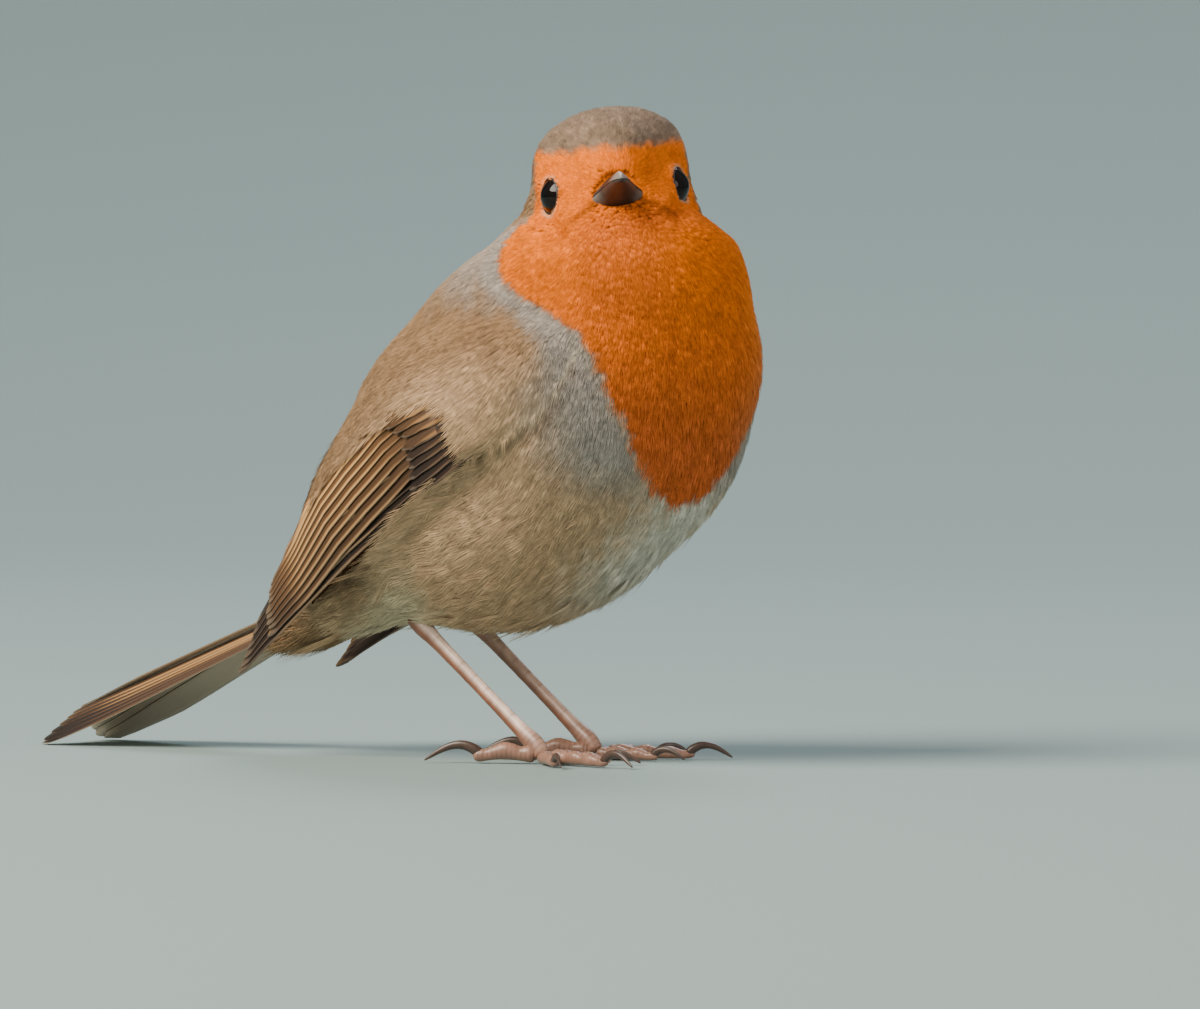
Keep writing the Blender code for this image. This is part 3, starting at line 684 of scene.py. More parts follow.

# %% [markdown]
# ## Plumage colour
# A soft feather is keratin grown in fine barbs, with the pigment inside it. One recipe colours the
# skin and the soft feathers: it lays one palette colour over another by the weights above, then
# varies each feather and each barb a little, as light wear does. An image could hold the pattern,
# but it would blur at the edges of feathers, where the weights stay sharp.

# %% Plumage colours
# The dark colour is painted shade, for the mouth lines, the wing's fold, the flank under the wing and the skin
# under the vanes.
PALETTE = {
    "olive": "#9c7c5c", "crown": "#84705e", "flank": "#caa682", "white": "#e2d9c8", "cream": "#d8c3a0",
    "dark": "#4a2c18", "grey": "#a49a90", "orange": "#f37900", "rust": "#cf6634",
}  # fmt: skip
FEATHER_PATCH = 2.381  # a feather differs from the next over about this many millimetres
BARB_GRAIN = 0.7143  # barbules are far finer, so they are drawn coarse enough to show


def marking_colour(tree):
    """Lays the palette over itself by the eight weights, and gives the colour's socket."""
    first = add(tree, "Attribute", attribute_name="marks_front")
    second = add(tree, "Attribute", attribute_name="marks_rear")
    a = add(tree, "SeparateColor", {0: first.outputs["Color"]})
    b = add(tree, "SeparateColor", {0: second.outputs["Color"]})
    bib = add(tree, "Mix", {0: a.outputs[1], 6: PALETTE["orange"], 7: PALETTE["rust"]}, data_type="RGBA")
    colour = PALETTE["olive"]
    # Each field lies over the ones before it.
    for share, over in (
        (b.outputs[0], PALETTE["flank"]),
        (b.outputs[1], PALETTE["white"]),
        (first.outputs["Alpha"], PALETTE["crown"]),
        (a.outputs[2], PALETTE["grey"]),
        (a.outputs[0], bib.outputs[2]),
        (b.outputs[2], PALETTE["cream"]),
        # Painted shade lies over all the rest.
        (second.outputs["Alpha"], PALETTE["dark"]),
    ):
        colour = add(tree, "Mix", {0: share, 6: colour, 7: over}, data_type="RGBA").outputs[2]
    return colour


print(len(PALETTE), "plumage colours")

# %% [markdown]
# ## Plumage finish
# Barbs are matt, because light goes in among them and comes out scattered: the roughness is high and hardly
# anything shines. The base of a barb is painted darker than its tip, as painted shade that gives the eye depth
# between feathers, and a slight bump breaks up what little shine there is.

# %% Plumage finish


def plumage(name, depth):
    """Soft feather keratin: matt barbs that scatter light, painted darker towards the root as shade, so the eye
    sees a soft, deep, dry surface.
    """
    made, tree = new_material(name)
    place = add(tree, "TexCoord").outputs["Object"]
    patches = add(tree, "TexNoise", {"Vector": place, "Scale": spots(FEATHER_PATCH), "Detail": 3.0})
    grain = add(tree, "TexNoise", {"Vector": place, "Scale": spots(BARB_GRAIN), "Detail": 2.0})
    lock = add(tree, "Attribute", attribute_name="lock")
    cut = add(tree, "SeparateColor", {0: lock.outputs["Color"]})
    shades = []
    for source, start, end, low, high in (
        (cut.outputs[0], 0.0, 1.0, 0.66, 1.34),  # feather by feather
        (cut.outputs[1], 0.0, 1.0, 0.78, 1.22),  # barb by barb
        # Darker towards the root: painted shade between feathers.
        (cut.outputs[2], 0.0, 1.0, depth, 1.08),  # from root to tip
        (patches.outputs[0], 0.3, 0.7, 0.88, 1.10),
        (grain.outputs[0], 0.3, 0.7, 0.90, 1.08),
    ):
        span = {"Value": source, "From Min": start, "From Max": end, "To Min": low, "To Max": high}
        shades.append(add(tree, "MapRange", span).outputs[0])
    value = shades[0]
    for other in shades[1:]:
        value = add(tree, "Math", {0: value, 1: other}, operation="MULTIPLY").outputs[0]
    tint = add(tree, "HueSaturation", {"Saturation": 1.0, "Value": value, "Color": marking_colour(tree)})
    rise = add(tree, "Bump", {"Height": grain.outputs[0], "Strength": 0.25, "Distance": 0.0002})
    matt = {"Base Color": tint.outputs[0], "Roughness": 0.8, "Specular IOR Level": 0.06}
    shader = add(tree, "BsdfPrincipled", {**matt, "Normal": rise.outputs[0]})
    add(tree, "OutputMaterial", {"Surface": shader.outputs[0]})
    print(name, "has", len(tree.nodes), "nodes")
    return made


soft_feather = plumage("soft_body_feather_keratin", 0.74)
bare_skin = plumage("feathered_skin_underlayer", 0.75)

# %% [markdown]
# ## Skin
# Under the coat a bird is smaller than it looks. The skin is the outline, sunk by the depth of the coat: half a
# millimetre round the bill, over two on the breast and belly. It could be shrunk evenly, but then the face would
# lose its shape. It carries the same markings, darkened as painted shade, and shows only between feathers; under
# the wing's vanes it is painted as dark as they are, as painted shade.

# %% Skin


def bill_distance(h):
    """Millimetres from the middle of the bill's base, of head points."""
    return np.linalg.norm(h - (6, 0, -2), axis=1)


def coat_depth(where):
    """Depth of the coat in millimetres at world points."""
    p, h = bird_mm(where), head_mm(where)
    depth = 0.45 + 1.9 * smooth(2, 34, bill_distance(h))
    share, _, over = wing_place(p)
    on_wing = smooth(-3.0, -1.5, over) * smooth(0.1, 0.25, share)
    depth = depth * (1 - on_wing) + 0.9 * on_wing
    depth *= 0.30 + 0.70 * smooth(OPENING + 5, OPENING + 60, near_eye(h)[1])
    return depth * (1 - 0.45 * smooth(-30, -42, p[:, 0]))


def set_marks(mesh, weights, locks):
    """Stores the eight weights in two colour attributes, and the feather's own numbers in a third."""
    own = np.ones((len(weights), 4))
    own[:, :3] = locks
    for name, values in (("marks_front", weights[:, :4]), ("marks_rear", weights[:, 4:]), ("lock", own)):
        layer = mesh.attributes.new(name, "FLOAT_COLOR", "POINT")
        layer.data.foreach_set("color", values.astype(np.float32).ravel())


skin_mesh = outline.copy()
depth = coat_depth(points)
sunk = points - normals * (depth * MM)[:, None]
skin_mesh.vertices.foreach_set("co", sunk.astype(np.float32).ravel())
share, across, over = wing_place(bird_mm(points))
# Painted shade: under the wing's vanes the skin is painted dark.
painted_shade_under_vanes = smooth(0.02, 0.09, share - coat_ends(across)) * (np.abs(across) < 1.05) * (over > -3.0)
skin_marks[:, MARKS.index("dark")] = np.maximum(skin_marks[:, MARKS.index("dark")], painted_shade_under_vanes)
# The skin takes the third number of a barb near its root, so it is painted darker, as shade between feathers.
set_marks(skin_mesh, skin_marks, np.tile((0.5, 0.4, 0.35), (len(points), 1)))
skin = keep("skin", skin_mesh, bare_skin)
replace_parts(skin, *FLESH, "wing_left_coverts", "wing_right_coverts")
bpy.data.objects.remove(shell)
print("the coat is", round(float(depth.min()), 2), "to", round(float(depth.max()), 2), "mm deep")

# %% [markdown]
# ## The lie of the coat
# Feathers point away from the bill and towards the tail, and turn as they go: up over the
# forehead, back past the eye, down the throat and breast, then back along the belly. A few combing
# guides say which way they lie at named places. Every feather takes a blend of the nearest guides,
# flattened onto the body. Combing by hand would look as good, but couldn't be run again.

# %% Combing guides
HEAD_GUIDES = (
    # place from the head's centre, and the way the feathers lie there; y is mirrored
    ((8, 0, 2), (-0.6, 0, 0.8)), ((3, 0, 8), (-1, 0, 0.35)), ((-5, 0, 12), (-1, 0, 0)),
    ((-14, 0, 7), (-0.5, 0, -0.85)), ((7.5, 3, 0), (-0.6, 0.75, 0.15)), ((2, 8, 4.5), (-0.85, 0.25, 0.45)),
    ((2, 8.5, -4), (-0.75, 0.35, -0.55)), ((-5, 12, -2), (-0.8, 0.1, -0.6)), ((7.5, 0, -5), (-0.1, 0, -1)),
    ((7, 0, -12), (0.1, 0, -1)), ((5, 6, -7), (-0.3, 0.5, -0.85)), ((-4, 13, -11), (-0.35, 0.1, -0.95)),
)  # fmt: skip
BODY_GUIDES = (
    ((24, -4, 62), (0.15, 0, -1)), ((28, 0, 50), (-0.05, 0, -1)), ((23, 0, 37), (-0.6, 0, -0.8)),
    ((8, 0, 24), (-1, 0, -0.15)), ((-8, 0, 19), (-1, 0, 0.05)), ((-24, 0, 19), (-1, 0, 0)),
    ((-40, 0, 16), (-0.94, 0, -0.34)), ((17, 17, 54), (-0.25, 0, -1)), ((12, 19, 40), (-0.6, 0, -0.8)),
    ((0, 21, 34), (-0.88, 0, -0.48)), ((-14, 17, 27), (-0.95, -0.1, -0.3)), ((8, 18, 67), (-0.45, 0, -0.9)),
    ((-8, 0, 72), (-0.6, 0, -0.8)), ((-20, 0, 58), (-0.7, 0, -0.7)), ((-34, 0, 40), (-0.72, 0, -0.7)),
    ((-44, 0, 25), (-0.9, 0, -0.43)), ((-6, 19, 56), (-0.75, 0, -0.66)), ((-24, 19, 40), (-0.72, 0, -0.7)),
)  # fmt: skip


def both_sides(guides):
    """The guides, with a mirrored one for each that is off the middle."""
    rows = [(place, way) for place, way in guides]
    rows += [((x, -y, z), (a, -b, c)) for (x, y, z), (a, b, c) in guides if y > 0]
    return np.array(rows, float)


head_guides, body_guides = both_sides(HEAD_GUIDES), both_sides(BODY_GUIDES)
guide_places = np.concatenate([head_guides[:, 0] @ HEAD_AXES.T + HEAD_PLACE, body_guides[:, 0]])
guide_ways = unit(np.concatenate([head_guides[:, 1] @ HEAD_AXES.T, body_guides[:, 1]]))


def comb(where, ups):
    """The way feathers lie at world points with the given normals."""
    far = np.linalg.norm(bird_mm(where)[:, None] - guide_places, axis=2)
    ways = (1 / (far**2 + 4) ** 2) @ guide_ways
    return unit(ways - ups * (ways * ups).sum(1, keepdims=True))


print(len(guide_places), "combing guides")

# %% [markdown]
# ## How big each feather is
# The feathers of the face are hardly over a millimetre long, those of the flank seven or more, and
# the belly's stand looser than the back's. One length for all would make the face shaggy and the
# belly bald, so length, width and looseness are worked out from the place.

# %% Sizes of the soft feathers


def feather_size(where):
    """Length, width and looseness of the soft feathers at world points, in millimetres."""
    p, h = bird_mm(where), head_mm(where)
    from_bill = bill_distance(h)
    length = 1.3 + 2.3 * smooth(1, 14, from_bill) + 3.4 * smooth(14, 44, from_bill)
    length *= 0.35 + 0.65 * smooth(OPENING + 2, OPENING + 50, near_eye(h)[1])
    low = smooth(44, 26, p[:, 2])
    length += 1.8 * low
    length += 1.0 * smooth(-20, -36, p[:, 0]) + 2.2 * smooth(-18, -26, p[:, 0]) * smooth(30, 20, p[:, 2])
    loose = 0.03 + 0.08 * smooth(20, 50, from_bill) + 0.26 * low + 0.10 * smooth(4, 9, h[:, 2])
    loose += 0.30 * smooth(-26, -36, p[:, 0]) * smooth(26, 19, p[:, 2])
    return length, 0.28 * length + 0.35, loose


def wanted_spacing(where):
    """Millimetres from a feather's root to the next."""
    return 0.30 + 0.22 * smooth(4, 40, bill_distance(head_mm(where)))


lengths = feather_size(points)[0]
print("feathers are", round(float(lengths.min()), 1), "to", round(float(lengths.max()), 1), "mm long")

# %% [markdown]
# ## Where feathers may grow
# Feathers are spread evenly, closer together on the face than on the belly. Far too many places
# are drawn at random here, and most are struck out further on. Nothing grows in the eyes or the
# bill, or under the wing's bare vanes, and no feather may reach across an eye.

# %% Draw the roots
DRAWN_FOR_EACH = 3.2  # places drawn for each feather that would fit

corners = points[faces]
area = np.linalg.norm(np.cross(corners[:, 1] - corners[:, 0], corners[:, 2] - corners[:, 0]), axis=1) / 2
spacing = wanted_spacing(corners.mean(1))
weight = area / MM**2 / spacing**2
drawn = chance.choice(len(faces), int(weight.sum() * DRAWN_FOR_EACH), p=weight / weight.sum())
mix = chance.random((len(drawn), 2))
mix[mix.sum(1) > 1] = 1 - mix[mix.sum(1) > 1]
mix = np.column_stack([1 - mix.sum(1), mix])
roots = (corners[drawn] * mix[:, :, None]).sum(1)
root_ups = unit((normals[faces[drawn]] * mix[:, :, None]).sum(1))
root_uv = (face_uv[drawn] * mix[:, :, None]).sum(1)
room = spacing[drawn] * MM
print(len(roots), "places drawn")

# %% Strike out eyes, bill and wings
BILL_ROOT, BILL_RISE = np.array((5.0, 0, -1.6)), 8.0
BILL_LENGTH, BILL_WIDTH, BILL_DEPTH = 13.6, 8.4, 5.1
ABOVE_MOUTH, BELOW_MOUTH = 0.55, 0.45  # how the bill's depth is shared out
bill_axes = np.array(Matrix.Rotation(radians(-BILL_RISE), 3, "Y"))

p, h = bird_mm(roots), head_mm(roots)
# A feather in front of an eye is cut as short as it has to be: fit is the share of it that is left.
reach = comb(roots, root_ups) * (feather_size(roots)[0] * MM)[:, None]
fit = np.zeros(len(roots))
for share in (0.35, 0.6, 1.0):
    fit = np.where(near_eye(head_mm(roots + reach * share))[1] > OPENING + 2.5, share, fit)
on_eye = (near_eye(h)[1] < OPENING + 2) | (fit == 0)
# Those at the very end of the rump are short, or they would stand out under the tail.
fit = np.where((p[:, 0] < -40) & (p[:, 2] < 19), np.minimum(fit, 0.5), fit)
rump_end = (p[:, 0] < -45) & (p[:, 2] < 17)
local = (h - BILL_ROOT) @ bill_axes
taper = np.clip(1 - local[:, 0] / BILL_LENGTH, 0, 1)
depth_there = np.where(local[:, 2] > 0, BILL_DEPTH * ABOVE_MOUTH, BILL_DEPTH * BELOW_MOUTH) * taper**0.8
width_there = BILL_WIDTH / 2 * taper * 0.98 + 0.01
in_bill = (local[:, 0] > -1) & ((local[:, 1] / width_there) ** 2 + (local[:, 2] / depth_there) ** 2 < 0.92)
share, across, over = wing_place(p)
under_vanes = (share > coat_ends(across)) & (np.abs(across) < 1.0) & (over > -2.2)
inside_wing = (np.abs(across) < 1.1) & (over < -2.2) & (over > -6)
inside_wing &= (np.abs(p[:, 1]) > 14) & (root_ups[:, 1] * p[:, 1] < 0)
# Nor may a feather from the flank lie across the wing's long feathers.
share, across, over = wing_place(bird_mm(roots + reach * 0.8))
under_vanes |= (share > 0.44) & (across > -1.0) & (across < 0.3) & (over > -2.6)
grows = ~(on_eye | in_bill | under_vanes | inside_wing | rump_end)
print(int(grows.sum()), "places left to choose from")

# %% [markdown]
# ## Even spacing
# Plain chance leaves clumps and bald spots, while real feathers grow in an even lattice. So the
# places are taken in turn, and each one kept strikes out its neighbours, out to the spacing wanted
# there. A tree of all the places finds neighbours fast.

# %% Keep the even ones
tree = KDTree(len(roots))
for i, place in enumerate(roots.tolist()):
    tree.insert(place, i)
tree.balance()
free = grows.copy()
kept = []
for i in np.flatnonzero(grows).tolist():
    if free[i]:
        kept.append(i)
        for _, j, _ in tree.find_range(roots[i], room[i]):
            free[j] = False
roots, root_ups, root_uv, fit = roots[kept], root_ups[kept], root_uv[kept], fit[kept]
print(len(roots), "soft feathers")

# %% [markdown]
# ## One soft feather
# Up close a body feather is a fan of fine barbs. A flat card with holes would need an image, and a
# tube for each barb too many faces. Each barb here is a three-sided cone whose base is poked out to
# a second point, six triangles in all, so tens of thousands of feathers can be afforded. Four
# different fans keep the eye from finding repeats.

# %% Fans of barbs
BARBS = 7


def fan(barbs, seed):
    """A unit feather: x along it from 0 to 1, y across from -1 to 1, z through. One number per barb."""
    luck = np.random.default_rng(seed)
    shape, corners, shades = [], [], []
    for i in range(barbs):
        side = 2 * (i + 0.5) / barbs - 1
        tip = (1 - 0.28 * side * side - luck.uniform(0, 0.16), side + luck.uniform(-0.12, 0.12))
        start = luck.uniform(0, 0.12)
        bm = bmesh.new()
        bmesh.ops.create_cone(bm, cap_ends=True, segments=3, radius1=1, radius2=0, depth=1)
        base = next(f for f in bm.faces if all(v.co.z < 0 for v in f.verts))
        bmesh.ops.poke(bm, faces=[base])
        for vertex in bm.verts:
            round_x, round_y, height = vertex.co
            if height > 0:
                vertex.co = (*tip, 0)
            elif abs(round_x) + abs(round_y) < 1e-3:
                vertex.co = (start, side * 0.18, 0)
            else:
                vertex.co = ((start + tip[0]) * 0.55, side * 0.72 + round_x * 0.165, round_y * 0.5)
        bmesh.ops.recalc_face_normals(bm, faces=bm.faces)
        # A barb this flat can come out inside out, which its volume tells.
        if bm.calc_volume(signed=True) < 0:
            bmesh.ops.reverse_faces(bm, faces=bm.faces)
        bm.verts.index_update()
        corners += [[v.index + len(shape) for v in f.verts] for f in bm.faces]
        shape += [tuple(v.co) for v in bm.verts]
        shades += [luck.random()] * len(bm.verts)
        bm.free()
    return np.array(shape), np.array(corners), np.array(shades)


FANS = [fan(BARBS, seed) for seed in (1, 2, 3, 4)]
print("a fan has", len(FANS[0][1]), "triangles")

# %% [markdown]
# ## Room for the wing and the eyes
# Real feathers part round a wing or an eye by themselves. Here two functions see to it: one lifts a
# feather's tip over the roots of the wing's vanes, which it should hide, and one keeps it above the
# lids. A shrinkwrap could do this for one mesh, but not for each feather by its own height.

# %% Keep clear of vanes and lids


def clear_vanes(where, share_of=1.0):
    """World points near a wing's vanes, lifted off them so that soft feathers hide the vanes' roots."""
    p = bird_mm(where)
    share, across, over = wing_place(p)
    _, _, out, half = wing_frames(share)
    wanted = 0.30 * half * (1 - across**2) + 0.80 - 0.65 * smooth(0.29, 0.40, share)
    near = smooth(0.13, 0.25, share) * (1 - smooth(0.5, 0.65, share)) * (np.abs(across) < 1.05) * (over > -2.6)
    lift = np.clip(wanted - over, 0, 2.6) * near * share_of
    return where + out * mirror(p) * (lift * MM)[:, None]


def clear_eyes(where, height):
    """World points round an eye, lifted clear of the lid by a height in millimetres."""
    h = head_mm(where)
    for flip in (1, -1):
        away = h - EYE_PLACE * (1, flip, 1)
        far = np.linalg.norm(away, axis=1)
        near = away @ (LOOK * (1, flip, 1)) / far > cos(radians(OPENING + 45))
        h += away / far[:, None] * (np.clip(EYE_RADIUS + height - far, 0, 1) * near)[:, None]
    return from_head(h)


lifted = head_mm(clear_eyes(from_head([EYE_PLACE + LOOK * EYE_RADIUS]), 0.24))[0]
print("a point on the eye is lifted", round(float((lifted - EYE_PLACE) @ LOOK) - EYE_RADIUS, 2), "mm")

# %% [markdown]
# ## The line of a feather
# Each feather starts on the skin, comes up through the coat and lies down along the outline. Its
# line follows the combing for two half-lengths, so it bends with the body; a straight one would
# stick out on the round of the breast. Neighbours lean together into tufts a few millimetres
# across, most on the belly and flank, where a few loose ones curl out too.

# %% Feather lines
MOST_TWIST = 0.42


def feather_lines(places, ups, fit):
    """Three points on each feather's line, the directions across and out there, widths and middles."""
    length, width, loose = feather_size(places)
    length = length * chance.uniform(0.85, 1.12, len(places)) * fit
    stray = (chance.random(len(places)) < 0.05) & (loose > 0.14)
    length, loose, width = length * (1 + 0.45 * stray), loose * (1 + 2.2 * stray), width * (1 - 0.4 * stray)
    depth = coat_depth(places)
    p = bird_mm(places)
    swirl = np.sin(p[:, 0] * 1.5 + p[:, 2] * 0.7) * np.sin(p[:, 2] * 1.3 - p[:, 1] * 0.9 + 1.0)
    swirl *= 0.05 + 0.30 * smooth(50, 34, p[:, 2])
    twist = swirl + chance.normal(0, 0.07, len(places)) * (1 + 3 * stray)
    twist = np.clip(twist, -MOST_TWIST, MOST_TWIST)[:, None]
    way = comb(places, ups)
    way = unit(way + np.cross(ups, way) * twist)
    middle, middle_ups = on_outline(places + way * (length * 0.5 * MM)[:, None])
    next_way = comb(middle, middle_ups)
    next_twist = twist + chance.normal(0, 0.08, len(places))[:, None]
    next_way = unit(next_way + np.cross(middle_ups, next_way) * next_twist)
    tip, tip_ups = on_outline(middle + next_way * (length * 0.5 * MM)[:, None])
    rise = np.abs(chance.normal(0, 1, len(places))) * loose
    start = places - ups * ((depth * 0.92) * MM)[:, None]
    middle = middle - middle_ups * ((depth * 0.26 - rise * 0.4) * MM)[:, None]
    tip = clear_vanes(tip + tip_ups * ((rise + 0.02) * MM)[:, None])
    middle = clear_eyes(clear_vanes(middle, 0.5), 0.16)
    tip = clear_eyes(tip, 0.24)
    line = np.stack([start, 2 * middle - (start + tip) / 2, tip], 1)
    sides = [np.cross(ups, way), np.cross(middle_ups, next_way), np.cross(tip_ups, next_way)]
    sides = np.stack([unit(side) for side in sides], 1)
    return line, sides, np.stack([ups, middle_ups, tip_ups], 1), width, middle


print("a feather leans at most", round(float(np.degrees(np.arctan(MOST_TWIST)))), "degrees off the combing")

# %% [markdown]
# ## Many copies as one mesh
# Objects or instances by the ten thousand would choke the export, so copies of a shape are written
# straight into one mesh as arrays. The shape itself comes from bmesh operators; only its copies are
# placed here. Each copy gets a small patch of the skin's own unwrap for baking.

# %% Join copies


def joined_mesh(name, shapes, corners, uv):
    """One mesh from many copies: shapes is (copies, points, 3), corners the faces of one copy."""
    copies, size = shapes.shape[:2]
    every = (corners[None] + (np.arange(copies) * size)[:, None, None]).reshape(-1, 3)
    mesh = bpy.data.meshes.new(name)
    mesh.vertices.add(copies * size)
    mesh.vertices.foreach_set("co", shapes.astype(np.float32).ravel())
    mesh.loops.add(every.size)
    mesh.loops.foreach_set("vertex_index", every.astype(np.int32).ravel())
    mesh.polygons.add(len(every))
    mesh.polygons.foreach_set("loop_start", np.arange(0, every.size, 3, dtype=np.int32))
    mesh.update(calc_edges=True)
    layer = mesh.uv_layers.new(name="OFBake")
    flat = np.clip(uv, 0.001, 0.999).reshape(-1, 2)[every.ravel()]
    layer.data.foreach_set("uv", flat.astype(np.float32).ravel())
    return mesh


def joined(meshes):
    """Joins meshes into the first, with their maps and attributes."""
    objects = [bpy.data.objects.new(mesh.name, mesh) for mesh in meshes]
    for made in objects:
        bpy.context.scene.collection.objects.link(made)
    with bpy.context.temp_override(active_object=objects[0], selected_editable_objects=objects):
        bpy.ops.object.join()
    mesh = objects[0].data
    bpy.data.objects.remove(objects[0])
    return mesh


print("seven-barb fans as copies: up to", len(roots) * len(FANS[0][1]), "triangles")

# %% [markdown]
# ## Lay one fan along many lines
# A feather's line is a Bezier curve of three points. For each point of the fan, the curve's weights
# at its share of the length give its place, the direction across and the direction out, so numpy
# bends every copy at once. A curve modifier would bend them one by one.

# %% Lay fans
PATCH = 0.003  # how large a tuft's patch is on the map, whose side is 1
FAN_THICK = 0.08  # millimetres through a barb, from its middle


def tuft_mesh(name, template, lines, uv):
    """One fan laid along each line, with its markings, and the body's own normal at each point."""
    line, sides, ups, width, look_at = lines
    shape, corners, shades = template
    x = shape[:, 0]
    bend = np.stack([(1 - x) ** 2, 2 * x * (1 - x), x**2], 1)
    places = np.einsum("vk,nkd->nvd", bend, line)
    places += np.einsum("vk,nkd->nvd", bend, sides) * (shape[None, :, 1] * width[:, None] / 2 * MM)[..., None]
    places += np.einsum("vk,nkd->nvd", bend, ups) * (shape[None, :, 2] * FAN_THICK * MM)[..., None]
    patch = uv[:, None] + (np.stack([x - 0.5, shape[:, 1] / 2], 1) * PATCH)[None]
    mesh = joined_mesh(name, places, corners, patch)
    count, weights = len(line), marks(look_at)
    # The crown is the most mottled; elsewhere feathers differ little.
    spread = 0.34 + 0.66 * weights[:, MARKS.index("crown")] + 0.22 * smooth(52, 40, bird_mm(look_at)[:, 2])
    luck = 0.5 + (chance.random(count) - 0.5) * spread
    barb = (np.tile(shades, count) + np.repeat(chance.random(count), len(x))) % 1
    # The third number is the share from root to tip, by which each barb's root is painted darker, as shade.
    lock = np.stack([np.repeat(luck, len(x)), barb, np.tile(x, count)], 1)
    set_marks(mesh, np.repeat(weights, len(x), axis=0), lock)
    return mesh, np.einsum("vk,nkd->nvd", bend, ups).reshape(-1, 3)


print("a tuft takes", round(PATCH**2 * 1e6, 1), "millionths of the map")

# %% [markdown]
# ## Sort the feathers into pieces
# One piece for the whole coat would be far too heavy, so it is parted the way a taxidermist names
# it: crown, face, throat, breast, mantle, rump, sides and wings. The first rule that a feather
# meets is the one that counts.

# %% Sort the feathers
p, h = bird_mm(roots), head_mm(roots)
share, across, over = wing_place(p)
on_wing = (share > 0.06) & (np.abs(across) < 1.05) & (over > -2.6)
left = p[:, 1] > 0
in_front = p[:, 0] > 4
up_back = p[:, 2] - p[:, 0]
RULES = (
    ("crown", (p[:, 2] > 74) & (h[:, 2] > 1.5)),
    ("face", p[:, 2] > 72),
    ("wing_left", on_wing & left),
    ("wing_right", on_wing),
    ("throat", (p[:, 2] > 60) & in_front),
    ("breast", (p[:, 2] > 46) & in_front),
    ("mantle", (up_back > 58) & (p[:, 2] > 52)),
    ("rump", (up_back > 54) & (p[:, 0] < -8)),
    ("side_left", left),
)
piece_of = np.select([rule for _, rule in RULES], [region for region, _ in RULES], "side_right")
print({str(region): int((piece_of == region).sum()) for region in sorted(set(piece_of))})

# %% [markdown]
# ## The coat
# Every piece is laid with the four fans shared out among its feathers by chance. Barbs catch the
# light as one soft surface, so their shading normals lean towards the body's own; with only their
# own they would glitter like cut grass.

# %% Lay the coat
LEAN_TO_BODY, LEAN_TO_OWN = 0.6, 0.5

for region in sorted(set(piece_of)):
    chosen = np.flatnonzero(piece_of == region)
    variant = chance.integers(0, len(FANS), len(chosen))
    parts, soft = [], []
    for k, template in enumerate(FANS):
        some = chosen[variant == k]
        lines = feather_lines(roots[some], root_ups[some], fit[some])
        mesh, ups = tuft_mesh(f"{region}_{k}", template, lines, root_uv[some])
        parts.append(mesh)
        soft.append(ups)
    coat = keep(f"coat_{region}", joined(parts), soft_feather)
    own = read(coat.data.vertex_normals, "vector", 3)
    leant = unit(LEAN_TO_BODY * np.concatenate(soft) + LEAN_TO_OWN * own)
    coat.data.normals_split_custom_set_from_vertices(leant.tolist())

# %% [markdown]
# ## One flight feather
# Wing and tail feathers are stiff vanes: a thin plate with a quill along it. Fans of barbs would
# look ragged there. The plate is a grid, narrowed to an outline with a round or blunt-pointed tip,
# then given thickness with solidify, so it is a closed solid. It is made once at unit size for each
# outline and laid along many lines.

# %% Vane outlines


def vane(point, tip_width, bulge=0.0):
    """A unit vane; point is how far its corners fall back at the tip."""
    bm = bmesh.new()
    bmesh.ops.create_grid(bm, x_segments=16, y_segments=6, size=0.5)
    for vertex in bm.verts:
        x, y = vertex.co.x + 0.5, 2 * vertex.co.y
        wide = 0.30 + 0.70 * float(smooth(0.0, 0.35, x))
        wide *= 1 - (1 - tip_width) * float(smooth(0.72, 1.0, x))
        wide *= 1 + bulge * sin(pi * x)
        vertex.co = (x - point * y * y * float(smooth(0.55, 1.0, x)), y * wide, 0)
    bmesh.ops.solidify(bm, geom=bm.faces[:], thickness=1.0)
    bmesh.ops.recalc_face_normals(bm, faces=bm.faces)
    bmesh.ops.triangulate(bm, faces=bm.faces)
    bm.verts.index_update()
    shape = np.array([v.co for v in bm.verts])
    corners = np.array([[v.index for v in f.verts] for f in bm.faces])
    bm.free()
    shape[:, 2] -= shape[:, 2].min()
    return shape, corners


VANES = {"long": vane(0.035, 0.50), "round": vane(0.16, 0.72, 0.1), "tail": vane(0.03, 0.62, 0.05)}
print("a vane has", len(VANES["long"][1]), "triangles")

# %% [markdown]
# ## Lay vanes along lines
# A vane follows a row of places down its length. At each place one direction points across it and
# another away from the body, so it can lie tilted, one edge over its neighbour like a roof tile.
# Each vane keeps its own flat map for its pattern, and four numbers: luck, fringe, darkness and how pale it is
# beneath, which on the tail is partly painted light. Numbers on the mesh let one material serve them all.

# %% Lay vanes


def lay_vanes(outline_name, lines, sides, ups, widths, camber=0.10, thick=0.16):
    """Points of each vane, in bird millimetres, laid along lines of equally spaced stations."""
    shape, _ = VANES[outline_name]
    stations = lines.shape[1]
    place = np.clip(shape[:, 0], 0, 1) * (stations - 1)
    hat = np.maximum(0, 1 - np.abs(place[:, None] - np.arange(stations)))
    where = np.einsum("vk,nkd->nvd", hat, lines)
    where += np.einsum("vk,nkd->nvd", hat, sides) * (shape[None, :, 1] * widths[:, None])[..., None]
    high = shape[None, :, 2] * thick - camber * shape[None, :, 1] ** 2 * widths[:, None]
    return where + np.einsum("vk,nkd->nvd", hat, ups) * high[..., None]


